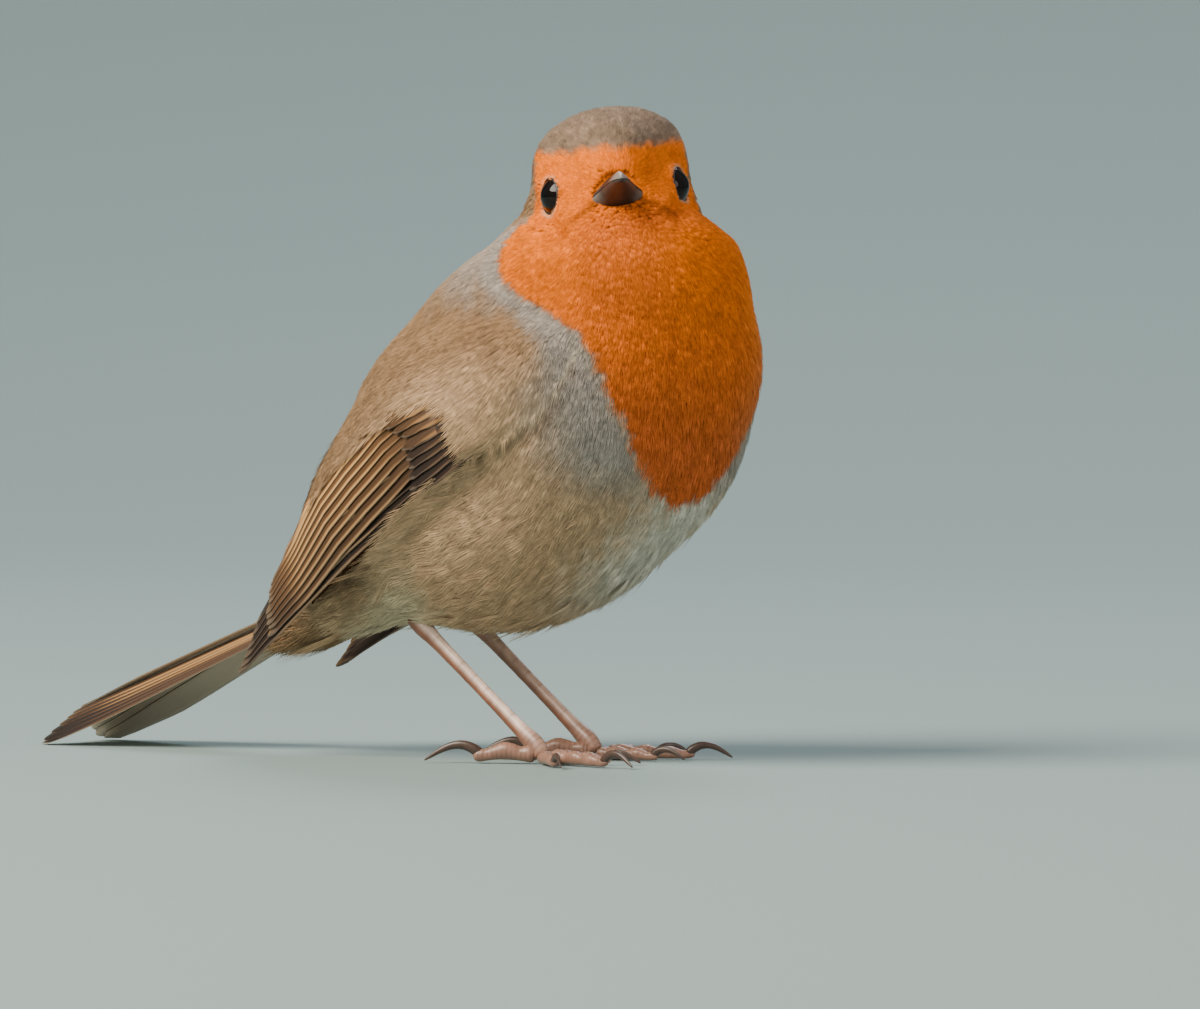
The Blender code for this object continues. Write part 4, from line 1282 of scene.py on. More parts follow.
def vane_mesh(name, rows):
    """Joins rows of vanes; each row is (outline, points, the four numbers of each vane)."""
    total = sum(len(row[1]) for row in rows)
    columns = int(np.ceil(np.sqrt(total)))
    meshes, done = [], 0
    for outline_name, where, numbers in rows:
        shape, corners = VANES[outline_name]
        cell = np.arange(done, done + len(where))
        corner = np.stack([cell % columns, cell // columns], 1)[:, None] / columns
        local = np.stack([np.clip(shape[:, 0], 0, 1), shape[:, 1] / 2.6 + 0.5], 1)
        mesh = joined_mesh(name, from_bird(where), corners, corner + (local[None] * 0.94 + 0.03) / columns)
        flat = mesh.uv_layers.new(name="vane")
        every = np.tile(np.stack([shape[:, 0], shape[:, 1] / 2 + 0.5], 1)[corners.ravel()], (len(where), 1))
        flat.data.foreach_set("uv", every.astype(np.float32).ravel())
        values = np.empty((len(where), len(shape), 4))
        values[:] = np.asarray(numbers)[:, None]
        layer = mesh.attributes.new("feather", "FLOAT_COLOR", "POINT")
        layer.data.foreach_set("color", values.astype(np.float32).ravel())
        meshes.append(mesh)
        done += len(where)
    print(f"{name}: {total} vanes")
    return joined(meshes)


print("vane outlines:", ", ".join(VANES))

# %% [markdown]
# ## Flight feather pattern
# A robin's wing feather is warm dark brown, with a narrow buff fringe along its outer edge and a
# dark quill. The barbs run slantwise from the quill to the edge, half a millimetre or so apart
# when bunched. All of it follows the feather, so it is read from the vane's own map, where x runs
# along it and y across; object coordinates would draw one stripe over many feathers.

# %% Flight feather pattern
VANE_LENGTH = 30.0  # millimetres, of a usual vane, which its own map counts as 1
BARB_BUNCH = 0.5  # barbs are a tenth of that, so they are drawn in bunches that can show
WORN_PATCH = 6.0

vane_finish, tree = new_material("grown_flight_feather_keratin")
flat = add(tree, "UVMap", uv_map="vane")
cut = add(tree, "SeparateXYZ", {0: flat.outputs[0]})
own = add(tree, "Attribute", attribute_name="feather")
numbers = add(tree, "SeparateColor", {0: own.outputs["Color"]})
centred = add(tree, "Math", {0: cut.outputs[1], 1: 0.5}, operation="SUBTRACT")
away = add(tree, "Math", {0: centred.outputs[0]}, operation="ABSOLUTE")
slant = add(tree, "Math", {0: away.outputs[0], 1: -0.22, 2: cut.outputs[0]}, operation="MULTIPLY_ADD")
barbs = add(tree, "CombineXYZ", {0: slant.outputs[0], 1: 0.0})
barb_lines = add(tree, "TexNoise", {"Vector": barbs.outputs[0], "Scale": VANE_LENGTH / BARB_BUNCH, "Detail": 3.0})
worn = add(tree, "TexNoise", {"Vector": flat.outputs[0], "Scale": VANE_LENGTH / WORN_PATCH, "Detail": 4.0})
edge_noise = add(tree, "MapRange", {"Value": worn.outputs[0], "To Min": -0.012, "To Max": 0.012})
edge = add(tree, "Math", {0: cut.outputs[1], 1: edge_noise.outputs[0]}, operation="ADD")
# Each part runs from one value to another between two places on the vane.
parts = {}
for name, source, start, end, low, high in (
    ("outer fringe", edge.outputs[0], 0.125, 0.085, 0.0, 1.0),
    ("inner fringe", edge.outputs[0], 0.93, 1.0, 0.0, 0.5),
    ("tip", cut.outputs[0], 0.955, 1.0, 0.0, 0.35),
    ("quill", away.outputs[0], 0.012, 0.035, 0.45, 1.0),
    ("web", cut.outputs[1], 0.12, 0.23, 1.40, 0.36),
    ("streaks", barb_lines.outputs[0], 0.3, 0.7, 0.86, 1.12),
):
    span = {"Value": source, "From Min": start, "From Max": end, "To Min": low, "To Max": high}
    parts[name] = add(tree, "MapRange", span).outputs[0]
luck = add(tree, "MapRange", {"Value": numbers.outputs[0], "To Min": 0.88, "To Max": 1.12})
print("parts of a flight feather's pattern:", ", ".join(parts))

# %% [markdown]
# ## Flight feather finish
# The vane's barbs are zipped into one sheet, so it is smoother than down: a soft broken shine with the barbs felt
# as a slight bump. Dark pigment fills the inner web, the fringe has almost none, and the underside is paler and
# greyer with no pale edge; on the tail it is painted palest, partly as painted light where it lies in shade.

# %% Flight feather finish
fringe = add(tree, "Math", {0: parts["outer fringe"], 1: parts["inner fringe"]}, operation="MAXIMUM")
fringe = add(tree, "Math", {0: fringe.outputs[0], 1: parts["tip"]}, operation="MAXIMUM")
fringe = add(tree, "Math", {0: fringe.outputs[0], 1: numbers.outputs[1]}, operation="MULTIPLY")
brown = add(tree, "Mix", {0: numbers.outputs[2], 6: "#bd864e", 7: "#382417"}, data_type="RGBA").outputs[2]
value = parts["quill"]
for other in (parts["web"], parts["streaks"], luck.outputs[0]):
    value = add(tree, "Math", {0: value, 1: other}, operation="MULTIPLY").outputs[0]
brown = add(tree, "HueSaturation", {"Value": value, "Color": brown}).outputs[0]
colour = add(tree, "Mix", {0: fringe.outputs[0], 6: brown, 7: "#e2b170"}, data_type="RGBA").outputs[2]
facing = add(tree, "SeparateXYZ", {0: add(tree, "TexCoord").outputs["Normal"]})
span = {"Value": facing.outputs[2], "From Min": -0.05, "From Max": -0.4, "To Min": 0.0, "To Max": 0.7}
beneath = add(tree, "MapRange", span)
# Beneath, the tail's colour is partly its own paler tone and partly painted light.
pale = add(tree, "Mix", {0: own.outputs["Alpha"], 6: "#7d6757", 7: "#d3bda2"}, data_type="RGBA").outputs[2]
colour = add(tree, "Mix", {0: beneath.outputs[0], 6: colour, 7: pale}, data_type="RGBA").outputs[2]
rise = add(tree, "Bump", {"Height": barb_lines.outputs[0], "Strength": 0.35, "Distance": 0.0002})
# Zipped barbs give the eye a dull sheen that breaks along them, without the wet look of horn.
sheet = {"Base Color": colour, "Roughness": 0.5, "Specular IOR Level": 0.25, "Sheen Weight": 0.05}
shader = add(tree, "BsdfPrincipled", {**sheet, "Normal": rise.outputs[0]})
add(tree, "OutputMaterial", {"Surface": shader.outputs[0]})
print(vane_finish.name, "has", len(tree.nodes), "nodes")

# %% [markdown]
# ## Wing
# The folded wing is a stack of vanes. The longest, the primaries, lie lowest and reach the tip;
# secondaries lie over them, tertials on top by the back, and short coverts roof over the roots.
# They could be drawn as lines on one shell, but then nothing would cast the thin shadows between
# them. Each row is described by where its first and last feather start and end on the wing's own
# line, so one table draws the whole wing, and the left wing is its mirror image.

# %% One row of wing feathers
WING_ROWS = (
    # outline, count, root shares, tip shares, root heights, tip heights,
    # half-widths, lift, fringe, darkness; each pair is for the row's first and last feather
    ("long", 6, (0.26, 0.25), (1.00, 0.88), (-0.90, -0.66), (-0.45, 0.55),
     (1.2, 1.4), (-0.80, -0.60), (0.50, 0.60), (1.0, 0.95)),
    ("long", 9, (0.22, 0.26), (0.86, 0.80), (-0.62, 0.36), (-0.55, 0.70),
     (1.3, 1.6), (-0.45, -0.10), (0.85, 0.95), (0.80, 0.25)),
    ("long", 4, (0.36, 0.40), (0.78, 0.62), (0.44, 0.80), (0.74, 0.76),
     (1.6, 1.9), (-0.05, 0.15), (0.85, 0.7), (0.20, 0.10)),
    ("long", 6, (0.20, 0.20), (0.38, 0.36), (-0.88, -0.45), (-0.90, -0.42),
     (1.0, 1.2), (0.05, 0.20), (0.05, 0.10), (1.0, 0.92)),
    ("round", 8, (0.21, 0.24), (0.36, 0.39), (-0.42, 0.50), (-0.38, 0.55),
     (1.4, 1.6), (0.20, 0.35), (0.15, 0.35), (0.72, 0.40)),
)  # fmt: skip
STATIONS = 9


def between(pair, step):
    """Values for a row's feathers, from the first's to the last's."""
    return pair[0] + (pair[1] - pair[0]) * step


def wing_row(row):
    """Lines, directions across and out, and widths of one row of the right wing's vanes."""
    _, count, start, end, low, high, half, lift, _, _ = row
    step = np.linspace(0, 1, count)
    shares = np.linspace(between(start, step), between(end, step), STATIONS, axis=1)
    shares += chance.normal(0, 0.004, (count, 1)) * np.linspace(0, 1, STATIONS)
    heights = np.linspace(between(low, step), between(high, step), STATIONS, axis=1)
    middle, up, out, wide = wing_frames(shares.ravel())
    h = heights.ravel()
    over = 0.30 * wide * (1 - h * h) - 0.6 + np.repeat(between(lift, step), STATIONS)
    # The roots lie deep in the coat, and so does what the coat still covers further on.
    over -= 3.0 * (1 - smooth(0, 0.10, shares - shares[:, :1])).ravel()
    over -= 0.9 * smooth(0.01, -0.06, shares.ravel() - coat_ends(h))
    line = (middle + up * (h * wide)[:, None] + out * over[:, None]).reshape(count, STATIONS, 3)
    # The wing's face is a bowl, so what points out follows it, the lower edge raised a little more.
    tilt = np.arctan(0.60 * h) * 0.8 + 0.20
    sides = up * np.cos(tilt)[:, None] - out * np.sin(tilt)[:, None]
    ups = out * np.cos(tilt)[:, None] + up * np.sin(tilt)[:, None]
    shape = (count, STATIONS, 3)
    return line, sides.reshape(shape), ups.reshape(shape), between(half, step)


print(sum(row[1] for row in WING_ROWS), "vanes to a wing")

# %% Both wings
rows = []
for row in WING_ROWS:
    outline_name, count, fringes, darkness = row[0], row[1], row[8], row[9]
    where = lay_vanes(outline_name, *wing_row(row))
    step = np.linspace(0, 1, count)[:, None]
    luck = chance.random((count, 1))
    numbers = np.hstack([luck, between(fringes, step), between(darkness, step), 0 * step])
    rows.append((outline_name, where, numbers))
for side, flip in (("right", 1), ("left", -1)):
    turned = [(outline_name, where * (1, flip, 1), numbers) for outline_name, where, numbers in rows]
    mesh = vane_mesh(f"wing_{side}_feathers", turned)
    if flip < 0:
        mesh.flip_normals()
    wing = keep(f"wing_{side}_feathers", mesh, vane_finish)
    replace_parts(wing, f"wing_{side}_secondaries", f"wing_{side}_primaries")

# %% [markdown]
# ## Tail
# Twelve feathers lie in a low roof: the middle pair on top, each next one out a little lower and
# tucked beneath. Seen from the side, the near half shows its brown top and the far half its paler
# underside. A single bent plate would show neither.

# %% Tail feathers
TAIL_ROOT, TAIL_PITCH, TAIL_LENGTH = np.array((-41.5, 0.0, 21.5)), 21.2, 50.5
TAIL_HALF_VANE = 2.3
TAIL_FRINGES = (0.30, 0.34, 0.24, 0.05, 0.03, 0.03)  # from the middle pair outwards
TAIL_DARKNESS = (0.84, 0.86, 0.94, 1.0, 1.0, 1.0)
FLOOR_GAP = 0.02
tail_axes = np.array(Matrix.Rotation(pi, 3, "Z") @ Matrix.Rotation(radians(TAIL_PITCH), 3, "Y"))


def tail_roof(along, side):
    """A place on the tail's upper face, from its root, in its own axes."""
    half = 4.4 + 4.2 * smooth(0, 0.8, along / TAIL_LENGTH)
    return np.stack([along, side * half, 0.15 - 4.2 * np.abs(side) ** 1.2 * half / 8.6], -1)


rows = []
for rank, (fringe_share, dark_share) in enumerate(zip(TAIL_FRINGES, TAIL_DARKNESS)):
    for flip in (-1, 1):
        side = flip * (0.10 + 0.155 * rank)
        reach = TAIL_LENGTH * (0.945 + 0.055 * smooth(0, 5, rank)) - 0.6 * (rank == 5)
        along = np.linspace(-5, reach, STATIONS)
        spread = side * (0.55 + 0.45 * along / reach)
        place = tail_roof(along, spread)
        place[:, 2] -= 0.10 * rank
        next_place = tail_roof(along, spread + 0.02)
        across = unit(next_place - place + (0, 0, -0.1 * rank))
        across = unit(np.stack([0 * along, across[:, 1], across[:, 2]], 1)) * -1
        outward = unit(np.cross((1.0, 0, 0), across))
        outward *= np.sign(outward[:, 2:3])
        line = (place @ tail_axes.T + TAIL_ROOT)[None]
        ways = (across @ tail_axes.T)[None] * flip, (outward @ tail_axes.T)[None]
        where = lay_vanes("tail", line, *ways, np.array([TAIL_HALF_VANE]), camber=0.06)
        where[..., 2] = np.maximum(where[..., 2], FLOOR_GAP)
        # The last number, 1, paints the tail's underside palest, partly as painted light.
        rows.append(("tail", where, [(chance.random(), fringe_share, dark_share, 1.0)]))
tail = keep("tail_feathers", vane_mesh("tail_feathers", rows), vane_finish)
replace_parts(tail, "tail")

# %% [markdown]
# ## Sleeves
# Bill, legs, toes and claws are all closed tapering forms. A curve with a bevel would taper too,
# but it couldn't carry scales. Each form starts as a unit cylinder cut into rings; then every point
# is moved by a rule that knows how far along and how far round it is. That keeps the mesh closed,
# and one helper serves them all.

# %% Sleeves


def sleeve(rings, sides):
    """A closed unit cylinder: x, y round it and z from 0 to 1 along it."""
    bm = bmesh.new()
    upright = Matrix.Translation((0, 0, 0.5))
    bmesh.ops.create_cone(bm, cap_ends=True, segments=sides, radius1=1, radius2=1, depth=1, matrix=upright)
    run = [e for e in bm.edges if abs(e.verts[0].co.z - e.verts[1].co.z) > 0.5]
    bmesh.ops.subdivide_edges(bm, edges=run, cuts=rings - 2, use_grid_fill=True)
    return bm


def coords_of(bm):
    return np.array([v.co for v in bm.verts])


def move(bm, places):
    """Puts the points of a bmesh at world places."""
    for vertex, place in zip(bm.verts, places.tolist()):
        vertex.co = place


def tag(bm, name, values, colour=False):
    """Writes one number, or one colour, on each point of a bmesh."""
    layer = (bm.verts.layers.float_color if colour else bm.verts.layers.float).new(name)
    for vertex, value in zip(bm.verts, values):
        vertex[layer] = value


def tube_along(places, wide, deep, side, rings=40, sides=20, ridge=None, ends=0.04):
    """A sleeve along a curve in bird millimetres; side is a direction across it."""
    bm = sleeve(rings, sides)
    coords = coords_of(bm)
    share = coords[:, 2]
    middle = through(places, share)
    run = unit(through(places, np.minimum(share + 0.01, 1)) - through(places, np.maximum(share - 0.01, 0)))
    across = unit(side - run * (run @ side)[:, None])
    up = np.cross(run, across)
    w = through(np.array(wide)[:, None], share)[:, 0]
    d = through(np.array(deep)[:, None], share)[:, 0]
    if ridge is not None:
        bump = ridge(share, coords[:, 1])
        w, d = w + bump, d + bump
    to_end = np.clip(np.minimum(share, 1 - share) / ends, 0, 1)
    blunt = np.sqrt(np.clip(1 - (1 - to_end) ** 2, 0.02, 1))
    where = middle + across * (coords[:, 0] * w * blunt)[:, None] + up * (coords[:, 1] * d * blunt)[:, None]
    move(bm, from_bird(where))
    bmesh.ops.recalc_face_normals(bm, faces=bm.faces)
    return bm


trial = sleeve(6, 8)
print("a sleeve of 6 rings and 8 sides has", len(trial.verts), "points")
trial.free()

# %% [markdown]
# ## Horn
# Bill and claws are horn: keratin grown in layers, dark, hard and a little translucent at the edges. A plain dark
# plastic would look dead beside it. The bill shines softly, with a painted highlight pale along its ridge and
# tip; the claws are as they grew, with fine cloudy lines.

# %% Bill horn and claw horn
BILL_GRAIN = 1.111  # millimetres; growth lines are finer, and are drawn coarse enough to show
CLAW_CLOUD = 1.4286  # millimetres across

# Horn gives the eye a soft shine, and a painted highlight lays a grey gleam along the ridge over a dark body.
bill_horn, tree = new_material("bill_horn_with_painted_glint")
place = add(tree, "TexCoord").outputs["Object"]
flow = add(tree, "TexNoise", {"Vector": place, "Scale": spots(BILL_GRAIN), "Detail": 4.0})
part = add(tree, "Attribute", attribute_name="bill_part")
colour = add(tree, "Mix", {0: part.outputs["Fac"], 6: "#1d1514", 7: "#b3aaa1"}, data_type="RGBA").outputs[2]
span = {"Value": flow.outputs[0], "From Min": 0.3, "From Max": 0.7, "To Min": 0.8, "To Max": 1.2}
grain = add(tree, "MapRange", span)
colour = add(tree, "HueSaturation", {"Value": grain.outputs[0], "Color": colour}).outputs[0]
rise = add(tree, "Bump", {"Height": flow.outputs[0], "Strength": 0.15, "Distance": 0.0002})
horn = {"Base Color": colour, "Roughness": 0.44, "IOR": 1.54, "Specular IOR Level": 0.20}
shader = add(tree, "BsdfPrincipled", {**horn, "Normal": rise.outputs[0]})
add(tree, "OutputMaterial", {"Surface": shader.outputs[0]})

# Unworn horn gives the eye a sharper, narrower shine, clouded brown underneath.
claw_horn, tree = new_material("claw_horn_grown")
place = add(tree, "TexCoord").outputs["Object"]
flow = add(tree, "TexNoise", {"Vector": place, "Scale": spots(CLAW_CLOUD), "Detail": 3.0})
colour = add(tree, "Mix", {0: flow.outputs[0], 6: "#2a1f1a", 7: "#5b463b"}, data_type="RGBA").outputs[2]
shader = add(tree, "BsdfPrincipled", {"Base Color": colour, "Roughness": 0.36, "IOR": 1.54})
add(tree, "OutputMaterial", {"Surface": shader.outputs[0]})
print(bill_horn.name, "and", claw_horn.name)

# %% [markdown]
# ## Leg scale
# A robin's leg is covered in thin keratin plates that overlap over pinkish skin. Skin alone would look raw, horn
# alone dead, so the finish is a smooth shell that lets a little light through. Two numbers on the mesh say where
# a plate's face and where its dark joint lies, so the colour follows the real ridges. The pale front is partly
# the plates' own colour and partly a painted highlight, and the darker back is painted shade.

# %% Leg scale
LEG_MOTTLE = 2.0  # millimetres

leg_scale, tree = new_material("leg_scale_keratin_over_skin")
place = add(tree, "TexCoord").outputs["Object"]
part = add(tree, "Attribute", attribute_name="scale_part")
cut = add(tree, "SeparateColor", {0: part.outputs["Color"]})
mottle = add(tree, "TexNoise", {"Vector": place, "Scale": spots(LEG_MOTTLE), "Detail": 4.0})
# Pale front, partly a painted highlight, over a back darkened as painted shade.
colour = add(tree, "Mix", {0: cut.outputs[0], 6: "#86553d", 7: "#dfc3b3"}, data_type="RGBA").outputs[2]
colour = add(tree, "Mix", {0: cut.outputs[1], 6: colour, 7: "#5d3a2c"}, data_type="RGBA").outputs[2]
span = {"Value": mottle.outputs[0], "From Min": 0.3, "From Max": 0.7, "To Min": 0.75, "To Max": 1.2}
shade = add(tree, "MapRange", span)
colour = add(tree, "HueSaturation", {"Value": shade.outputs[0], "Color": colour}).outputs[0]
rise = add(tree, "Bump", {"Height": mottle.outputs[0], "Strength": 0.2, "Distance": 0.0002})
# Thin scale over skin gives the eye a waxy gleam with a pink warmth under it.
waxy = {"Roughness": 0.36, "IOR": 1.5, "Subsurface Weight": 0.05, "Subsurface Scale": 0.001}
shader = add(tree, "BsdfPrincipled", {"Base Color": colour, **waxy, "Normal": rise.outputs[0]})
add(tree, "OutputMaterial", {"Surface": shader.outputs[0]})
print(leg_scale.name, "has", len(tree.nodes), "nodes")

# %% [markdown]
# ## Eye and lid
# The eye is wet and clear over a nearly black iris, so it mirrors the lamps sharply; that one
# bright glint makes the bird look alive. Glass over a painted iris would be truer, but it turns
# cloudy in an export, so the shine lies straight on the dark. The lid is bare wrinkled skin, dry
# and dull beside it, with a pale edge below.

# %% Wet eye and lid skin
LID_WRINKLE = 0.4  # millimetres

# A film of tears gives the eye a mirror's edge: almost no roughness, and a cornea's own IOR.
eye_wet, tree = new_material("wet_eye_cornea")
part = add(tree, "Attribute", attribute_name="eye_part")
colour = add(tree, "Mix", {0: part.outputs["Fac"], 6: "#030202", 7: "#120804"}, data_type="RGBA").outputs[2]
wet = {"Base Color": colour, "Roughness": 0.05, "IOR": 1.376, "Specular IOR Level": 0.4}
add(tree, "OutputMaterial", {"Surface": add(tree, "BsdfPrincipled", wet).outputs[0]})

# Bare skin gives the eye a soft, finely broken surface that sets off the wet ball.
lid_skin, tree = new_material("bare_eyelid_skin")
place = add(tree, "TexCoord").outputs["Object"]
fold = add(tree, "TexNoise", {"Vector": place, "Scale": spots(LID_WRINKLE), "Detail": 2.0})
part = add(tree, "Attribute", attribute_name="lid_part")
colour = add(tree, "Mix", {0: part.outputs["Fac"], 6: "#2c2019", 7: "#cdb592"}, data_type="RGBA").outputs[2]
rise = add(tree, "Bump", {"Height": fold.outputs[0], "Strength": 0.4, "Distance": 0.0002})
shader = add(tree, "BsdfPrincipled", {"Base Color": colour, "Roughness": 0.5, "Normal": rise.outputs[0]})
add(tree, "OutputMaterial", {"Surface": shader.outputs[0]})
print(eye_wet.name, "and", lid_skin.name)

# %% [markdown]
# ## Bill
# The bill is slim and dark, with a ridged culmen, a tip that turns down, and a straight mouth line.
# It could be one solid with a groove, but two halves leave a true dark gap. Each half is a half
# sleeve: the same rule as the solid's shapes it, with more rings, a dent for the nostril, fleshy
# corners to the mouth and a paler lower base.

# %% Bill


def bell(value, middle, wide):
    """1 at the middle, falling away to both sides like a bell."""
    return np.exp(-(((value - middle) / wide) ** 2))


def bill_point(side, height, share, up):
    """Where a point of the sleeve goes in the bill's own axes, and how pale it is there, with a painted highlight
    on ridge and tip.
    """
    taper = (1 - share) ** 0.82
    half_width = BILL_WIDTH / 2 * (taper * (1 - 0.25 * sin(pi * share)) + 0.055)
    gape = bell(share, 0.20, 0.13)  # the fleshy corners of the mouth
    half_width += 0.40 * gape
    above = BILL_DEPTH * ABOVE_MOUTH * (taper**0.8 * (1 - 0.10 * sin(pi * share)) + 0.11)
    below = BILL_DEPTH * BELOW_MOUTH * (taper**0.9 * (1 - 0.12 * sin(pi * share)) + 0.11)
    # Half of the ring is folded flat onto the mouth line, so each half closes by itself.
    inside = height * up < 0
    outer_top = up > 0 and not inside
    z = 0.0 if inside else height * (above if up > 0 else below)
    if inside:
        side *= 0.97
    half_width *= 1 - 0.45 * max(0.0, height if up > 0 else 0)
    nostril = np.exp(-(((share - 0.42) / 0.05) ** 2) - ((abs(side) - 0.72) / 0.16) ** 2) if outer_top else 0
    z += up * 0.05 - 1.15 * share**3 - 0.09 * share - 0.28 * nostril - 0.35 * gape * side * side
    edge = float(smooth(0.45, 0.95, abs(side)))
    # Painted highlight: the ridge and the upper tip are painted pale.
    ridge = float(smooth(0.55, 0.0, abs(side)) * smooth(0.40, 0.92, share)) if outer_top else 0.0
    tip = 0.40 * float(smooth(0.55, 0.92, share)) if up > 0 else 0.0
    pale = 0.03 * (1 - nostril) + 0.85 * ridge + tip + (0.26 * gape + 0.03) * edge * (1.0 if up < 0 else 0.2)
    return (share * BILL_LENGTH, side * half_width * (1 - 0.08 * nostril), z), min(1.0, pale)


def bill_half(up):
    """The upper or lower half of the bill; up is 1 or -1."""
    bm = sleeve(44, 36)
    values = []
    for vertex in bm.verts:
        vertex.co, pale = bill_point(*vertex.co, up)
        values.append(pale)
    bmesh.ops.recalc_face_normals(bm, faces=bm.faces)
    tag(bm, "bill_part", values)
    move(bm, from_head(coords_of(bm) @ bill_axes.T + BILL_ROOT))
    return bm


for name, up in (("bill_upper", 1), ("bill_lower", -1)):
    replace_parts(keep(f"{name}_horn", bill_half(up), bill_horn), name)

# %% [markdown]
# ## Eyes
# A robin's eye is large for its head: a round ball whose cornea bulges a little in front. A cut
# sphere would leave a seam at the rim of the bulge, so the whole sphere is kept and its front eased
# outwards.

# %% Eyes
CORNEA = 40  # degrees from the middle of the eye to where its bulge ends


def eye_axes(flip):
    """The axes of one eye: across it, up it and out of it."""
    look = LOOK * (1, flip, 1)
    up = unit(np.array((0, 0, 1.0)) - look * look[2])
    return np.stack([np.cross(up, look), up, look], 1)


def in_socket(coords, flip):
    """World places of points given in an eye's own millimetres."""
    return from_head(coords @ eye_axes(flip).T + EYE_PLACE * (1, flip, 1))


for side, flip in (("left", 1), ("right", -1)):
    bm = bmesh.new()
    bmesh.ops.create_uvsphere(bm, u_segments=56, v_segments=40, radius=1)
    coords = coords_of(bm)
    open_share = 1 - smooth(0, CORNEA, np.degrees(np.arccos(np.clip(coords[:, 2], -1, 1))))
    tag(bm, "eye_part", np.clip(1 - open_share * 1.6, 0, 1).tolist())
    move(bm, in_socket(coords * (EYE_RADIUS * (1 + 0.05 * open_share))[:, None], flip))
    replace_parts(keep(f"eyeball_{side}", bm, eye_wet), f"eye_{side}")

# %% [markdown]
# ## Lids
# A thin ring of bare lid frames each eye. A torus would stand off the ball at the back, so the cut
# of the lid is drawn once, a bead at the rim and a thin shell back over the ball, and spun right
# round. The opening is a little wider than tall, with a nick fore and aft.

# %% Lids
for side, flip in (("left", 1), ("right", -1)):
    bm = bmesh.new()
    # Each place on the cut: degrees from the middle of the eye, and millimetres from its centre.
    bead = [
        (OPENING + 2.0 + 1.9 * cos(a), EYE_RADIUS + 0.10 + 0.11 * sin(a))
        for a in np.linspace(pi * 1.5, pi * 0.5, 7)
    ]
    cut_line = bead + [
        (OPENING + 9, EYE_RADIUS + 0.12),
        (OPENING + 30, EYE_RADIUS + 0.02),
        (OPENING + 30, EYE_RADIUS - 0.4),
        (OPENING + 8, EYE_RADIUS - 0.1),
    ]
    ring = [bm.verts.new((sin(radians(a)) * r, 0, cos(radians(a)) * r)) for a, r in cut_line]
    face = bm.faces.new(ring)
    turn_round = {"axis": (0, 0, 1), "cent": (0, 0, 0), "angle": 2 * pi, "steps": 48}
    bmesh.ops.spin(bm, geom=[face], use_merge=True, **turn_round)
    bmesh.ops.remove_doubles(bm, verts=bm.verts, dist=1e-5)
    bmesh.ops.delete(bm, geom=[f for f in bm.faces if len(f.verts) > 4], context="FACES_ONLY")
    coords = coords_of(bm)
    round_angle = np.arctan2(coords[:, 1], coords[:, 0])
    outside = smooth(EYE_RADIUS + 0.2, EYE_RADIUS + 0.4, np.linalg.norm(coords, axis=1))
    tag(bm, "lid_part", (smooth(0.2, -0.8, np.sin(round_angle)) * outside).tolist())
    coords[:, 0] *= 1 + 0.05 * np.cos(round_angle) ** 6
    move(bm, in_socket(coords, flip))
    bmesh.ops.recalc_face_normals(bm, faces=bm.faces)
    keep(f"eyelids_{side}", bm, lid_skin)

# %% [markdown]
# ## Shanks
# The tarsus is a slim shank with broad plates down its front. A bump map could draw the plates, but a leg is seen
# against the light, where only a real ridge shows. So the sleeve swells and dips along its length, and the colour
# takes the same steps. The left leg's front is painted less pale than the right's, as painted shade, and both are
# wrinkled and browner at the foot.

# %% Shanks
ANKLE, HEEL = np.array((0.3, 6.5, 2.5)), np.array((-19.2, 6.5, 18.6))  # of the left leg
SHANK_LENGTH, SHANK_PLATES, FOOT_WRINKLE = 25.0, 9, 0.8
SHANK_STOPS = (0, 0.12, 0.3, 0.5, 0.7, 0.88, 1.0, 1.1)  # shares of the way from ankle to heel
SHANK_DEPTHS = (1.3, 1.45, 1.16, 1.02, 0.98, 1.02, 1.12, 1.4, 1.3)
SHANK_ACROSS = 0.76  # its width as a share of its depth
PLATE_RISE = 0.035
SOLE = 0.01 * MM  # no piece goes lower than this over the floor


def plates(count, height, sharp):
    """Ridges along a sleeve: each scale swells and ends in a small step, on the upper face only."""

    def ridge(share, y):
        step = height * (((share * count) % 1) ** sharp - 0.3)
        return step * smooth(-0.4, 0.5, y) * smooth(0, 0.04, share) * smooth(1, 0.97, share)

    return ridge


def stand(bm):
    """Flattens what would dip below the floor, as a sole does under weight."""
    for vertex in bm.verts:
        vertex.co.z = max(vertex.co.z, SOLE)
    return bm


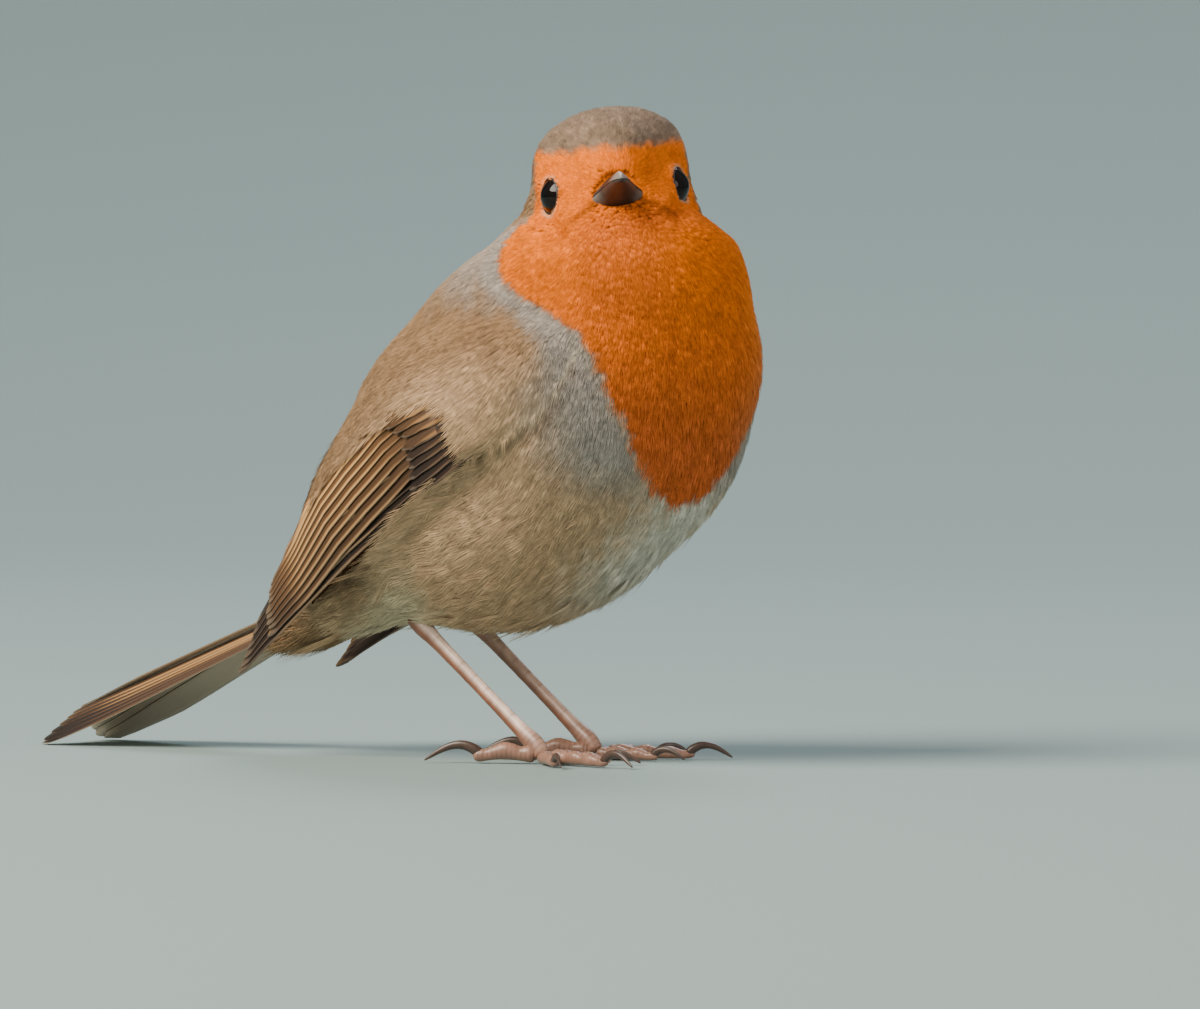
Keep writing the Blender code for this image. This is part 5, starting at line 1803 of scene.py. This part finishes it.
def shank_mesh(ankle, heel, painted_front_light):
    """One leg from the ankle up into the feathers; the last argument is how much of its front stays pale, which
    is partly a painted highlight and less on the left leg as painted shade.
    """
    line = [ankle + (1.3, 0, -1.6)] + [ankle + (heel - ankle) * stop for stop in SHANK_STOPS]
    wide = [SHANK_ACROSS * deep for deep in SHANK_DEPTHS]
    ridge = plates(SHANK_PLATES, PLATE_RISE, 8.0)
    bm = tube_along(line, wide, SHANK_DEPTHS, np.array((0.0, 1.0, 0.0)), rings=120, sides=24, ridge=ridge)
    coords = bird_mm(coords_of(bm))
    along = unit(HEEL - ANKLE)
    # The pale front is partly a painted highlight; the darker back is painted shade.
    front = smooth(-0.3, 0.6, (coords - ankle) @ np.array((-along[2], 0, along[0])) * -1)
    up_leg = (coords - ankle) @ unit(heel - ankle)
    dark = smooth(0.86, 0.98, (up_leg / SHANK_LENGTH * SHANK_PLATES) % 1) * 0.30 * front
    front = front * painted_front_light
    foot = smooth(4.2, 0.6, up_leg)
    front = front * (1 - 0.8 * foot) + 0.2 * foot
    dark = dark * (1 - foot) + foot * (0.24 + 0.36 * smooth(0.55, 0.95, (up_leg / FOOT_WRINKLE) % 1))
    tag(bm, "scale_part", [(float(f), float(d), 0.0, 1.0) for f, d in zip(front, dark)], colour=True)
    return stand(bm)


print("shank", round(float(np.linalg.norm(HEEL - ANKLE)), 1), "mm from ankle to heel")

# %% [markdown]
# ## Toes and claws
# Three toes point forward and one, the hallux, back. Each swells at every joint, with a scale at
# every wrinkle on top and a soft flat sole beneath. The claw is a hook of horn that leaves the last
# joint, rises and comes down to the floor. One toe could be copied four times, but each has its own
# length and number of joints, so each is drawn from its own row of the table.

# %% Toes and claws
TOES = {
    # length, claw length, claw rise, radius, joints, how high it arches
    "hallux": (8.0, 7.4, 1.9, 1.22, 2, 0.55),
    "inner": (8.8, 4.6, 1.2, 0.88, 3, 0.15),
    "middle": (12.8, 5.6, 1.5, 0.98, 4, 0.15),
    "outer": (9.4, 4.6, 1.2, 0.88, 4, 0.15),
}
BEARINGS = {
    "left": {"hallux": 206.0, "inner": 6.0, "middle": 33.0, "outer": 60.0},
    "right": {"hallux": 205.0, "inner": 18.0, "middle": -14.0, "outer": -44.0},
}
TOE_STARTS, TOE_RUNS_ON = 0.6, 1.0  # millimetres from the ankle, and on under the claw
WRINKLES = 1.7  # to the millimetre


def toe_mesh(name, start, run, across):
    """A toe from under the ankle, and the place where its claw leaves it."""
    length, _, _, radius, joints, arch = TOES[name]
    share = np.linspace(0, 1, 4 * joints + 1)
    thick = radius * (1 - 0.34 * share**2) * (1 + 0.13 * np.cos(2 * pi * share * joints))
    line = start + np.outer(TOE_STARTS + share * (length + TOE_RUNS_ON), run)
    line = line + np.outer(thick * 0.86 + arch * np.sin(pi * share), (0, 0, 1))
    wrinkles = int(length * WRINKLES)
    ridge = plates(wrinkles, PLATE_RISE, 4.0)
    bm = tube_along(line, thick * 0.92, thick, across, rings=90, sides=20, ridge=ridge, ends=0.12)
    coords = bird_mm(coords_of(bm))
    wrinkle = (((coords - start) @ run - TOE_STARTS) / (length + TOE_RUNS_ON) * wrinkles) % 1
    dark = smooth(0.75, 0.95, wrinkle) * smooth(0.4, 1.0, coords[:, 2]) * 0.45 + 0.30
    tag(bm, "scale_part", [(0.25, float(d), 0.0, 1.0) for d in dark], colour=True)
    return stand(bm), line[-1]


def talon_mesh(name, root, run, across):
    """The claw that hooks forward and down from a toe's last joint."""
    _, claw, rise, radius, _, _ = TOES[name]
    share = np.linspace(0, 1, 12)
    hook = root + np.outer(share * (claw * 0.94 + radius * 1.1) - radius, run)
    hook[:, 2] += rise * np.sin(pi * share**0.8) - share * (root[2] - 0.16)
    taper = radius * 0.60 * (1 - share) ** 0.7 + 0.10
    return stand(tube_along(hook, taper * 0.8, taper, across, rings=36, sides=16))


print(len(TOES), "toes to a foot, with claws of", [row[1] for row in TOES.values()], "mm")

# %% [markdown]
# ## Both legs
# The legs are set down one by one, since the feet point different ways. Each piece stands for its own solid,
# which is hidden, so the finer mesh is what shows. Each piece stands for its own solid, so the solid's
# collision shape stays while the finer mesh is what shows.

# %% Both legs
for side, flip in (("left", 1), ("right", -1)):
    ankle, heel = ANKLE * (1, flip, 1), HEEL * (1, flip, 1)
    # The left leg's front is painted less pale, as painted shade.
    shank = shank_mesh(ankle, heel, 0.55 if side == "left" else 1.0)
    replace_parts(keep(f"shank_{side}", shank, leg_scale), f"tarsus_{side}")
    start = ankle + (0.9, 0, -ankle[2])
    for name in TOES:
        angle = radians(BEARINGS[side][name])
        run = np.array((cos(angle), sin(angle), 0))
        across = np.array((-sin(angle), cos(angle), 0))
        toe, root = toe_mesh(name, start, run, across)
        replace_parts(keep(f"toe_skin_{side}_{name}", toe, leg_scale), f"toe_{side}_{name}")
        talon = talon_mesh(name, root, run, across)
        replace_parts(keep(f"talon_{side}_{name}", talon, claw_horn), f"claw_{side}_{name}")

# %% [markdown]
# ## Size
# The dressed bird must stay the size of its solids; its box is printed.

# %% Size
low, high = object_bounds()
print("dressed, the bird is", [round(side / MM, 1) for side in high - low], "mm")
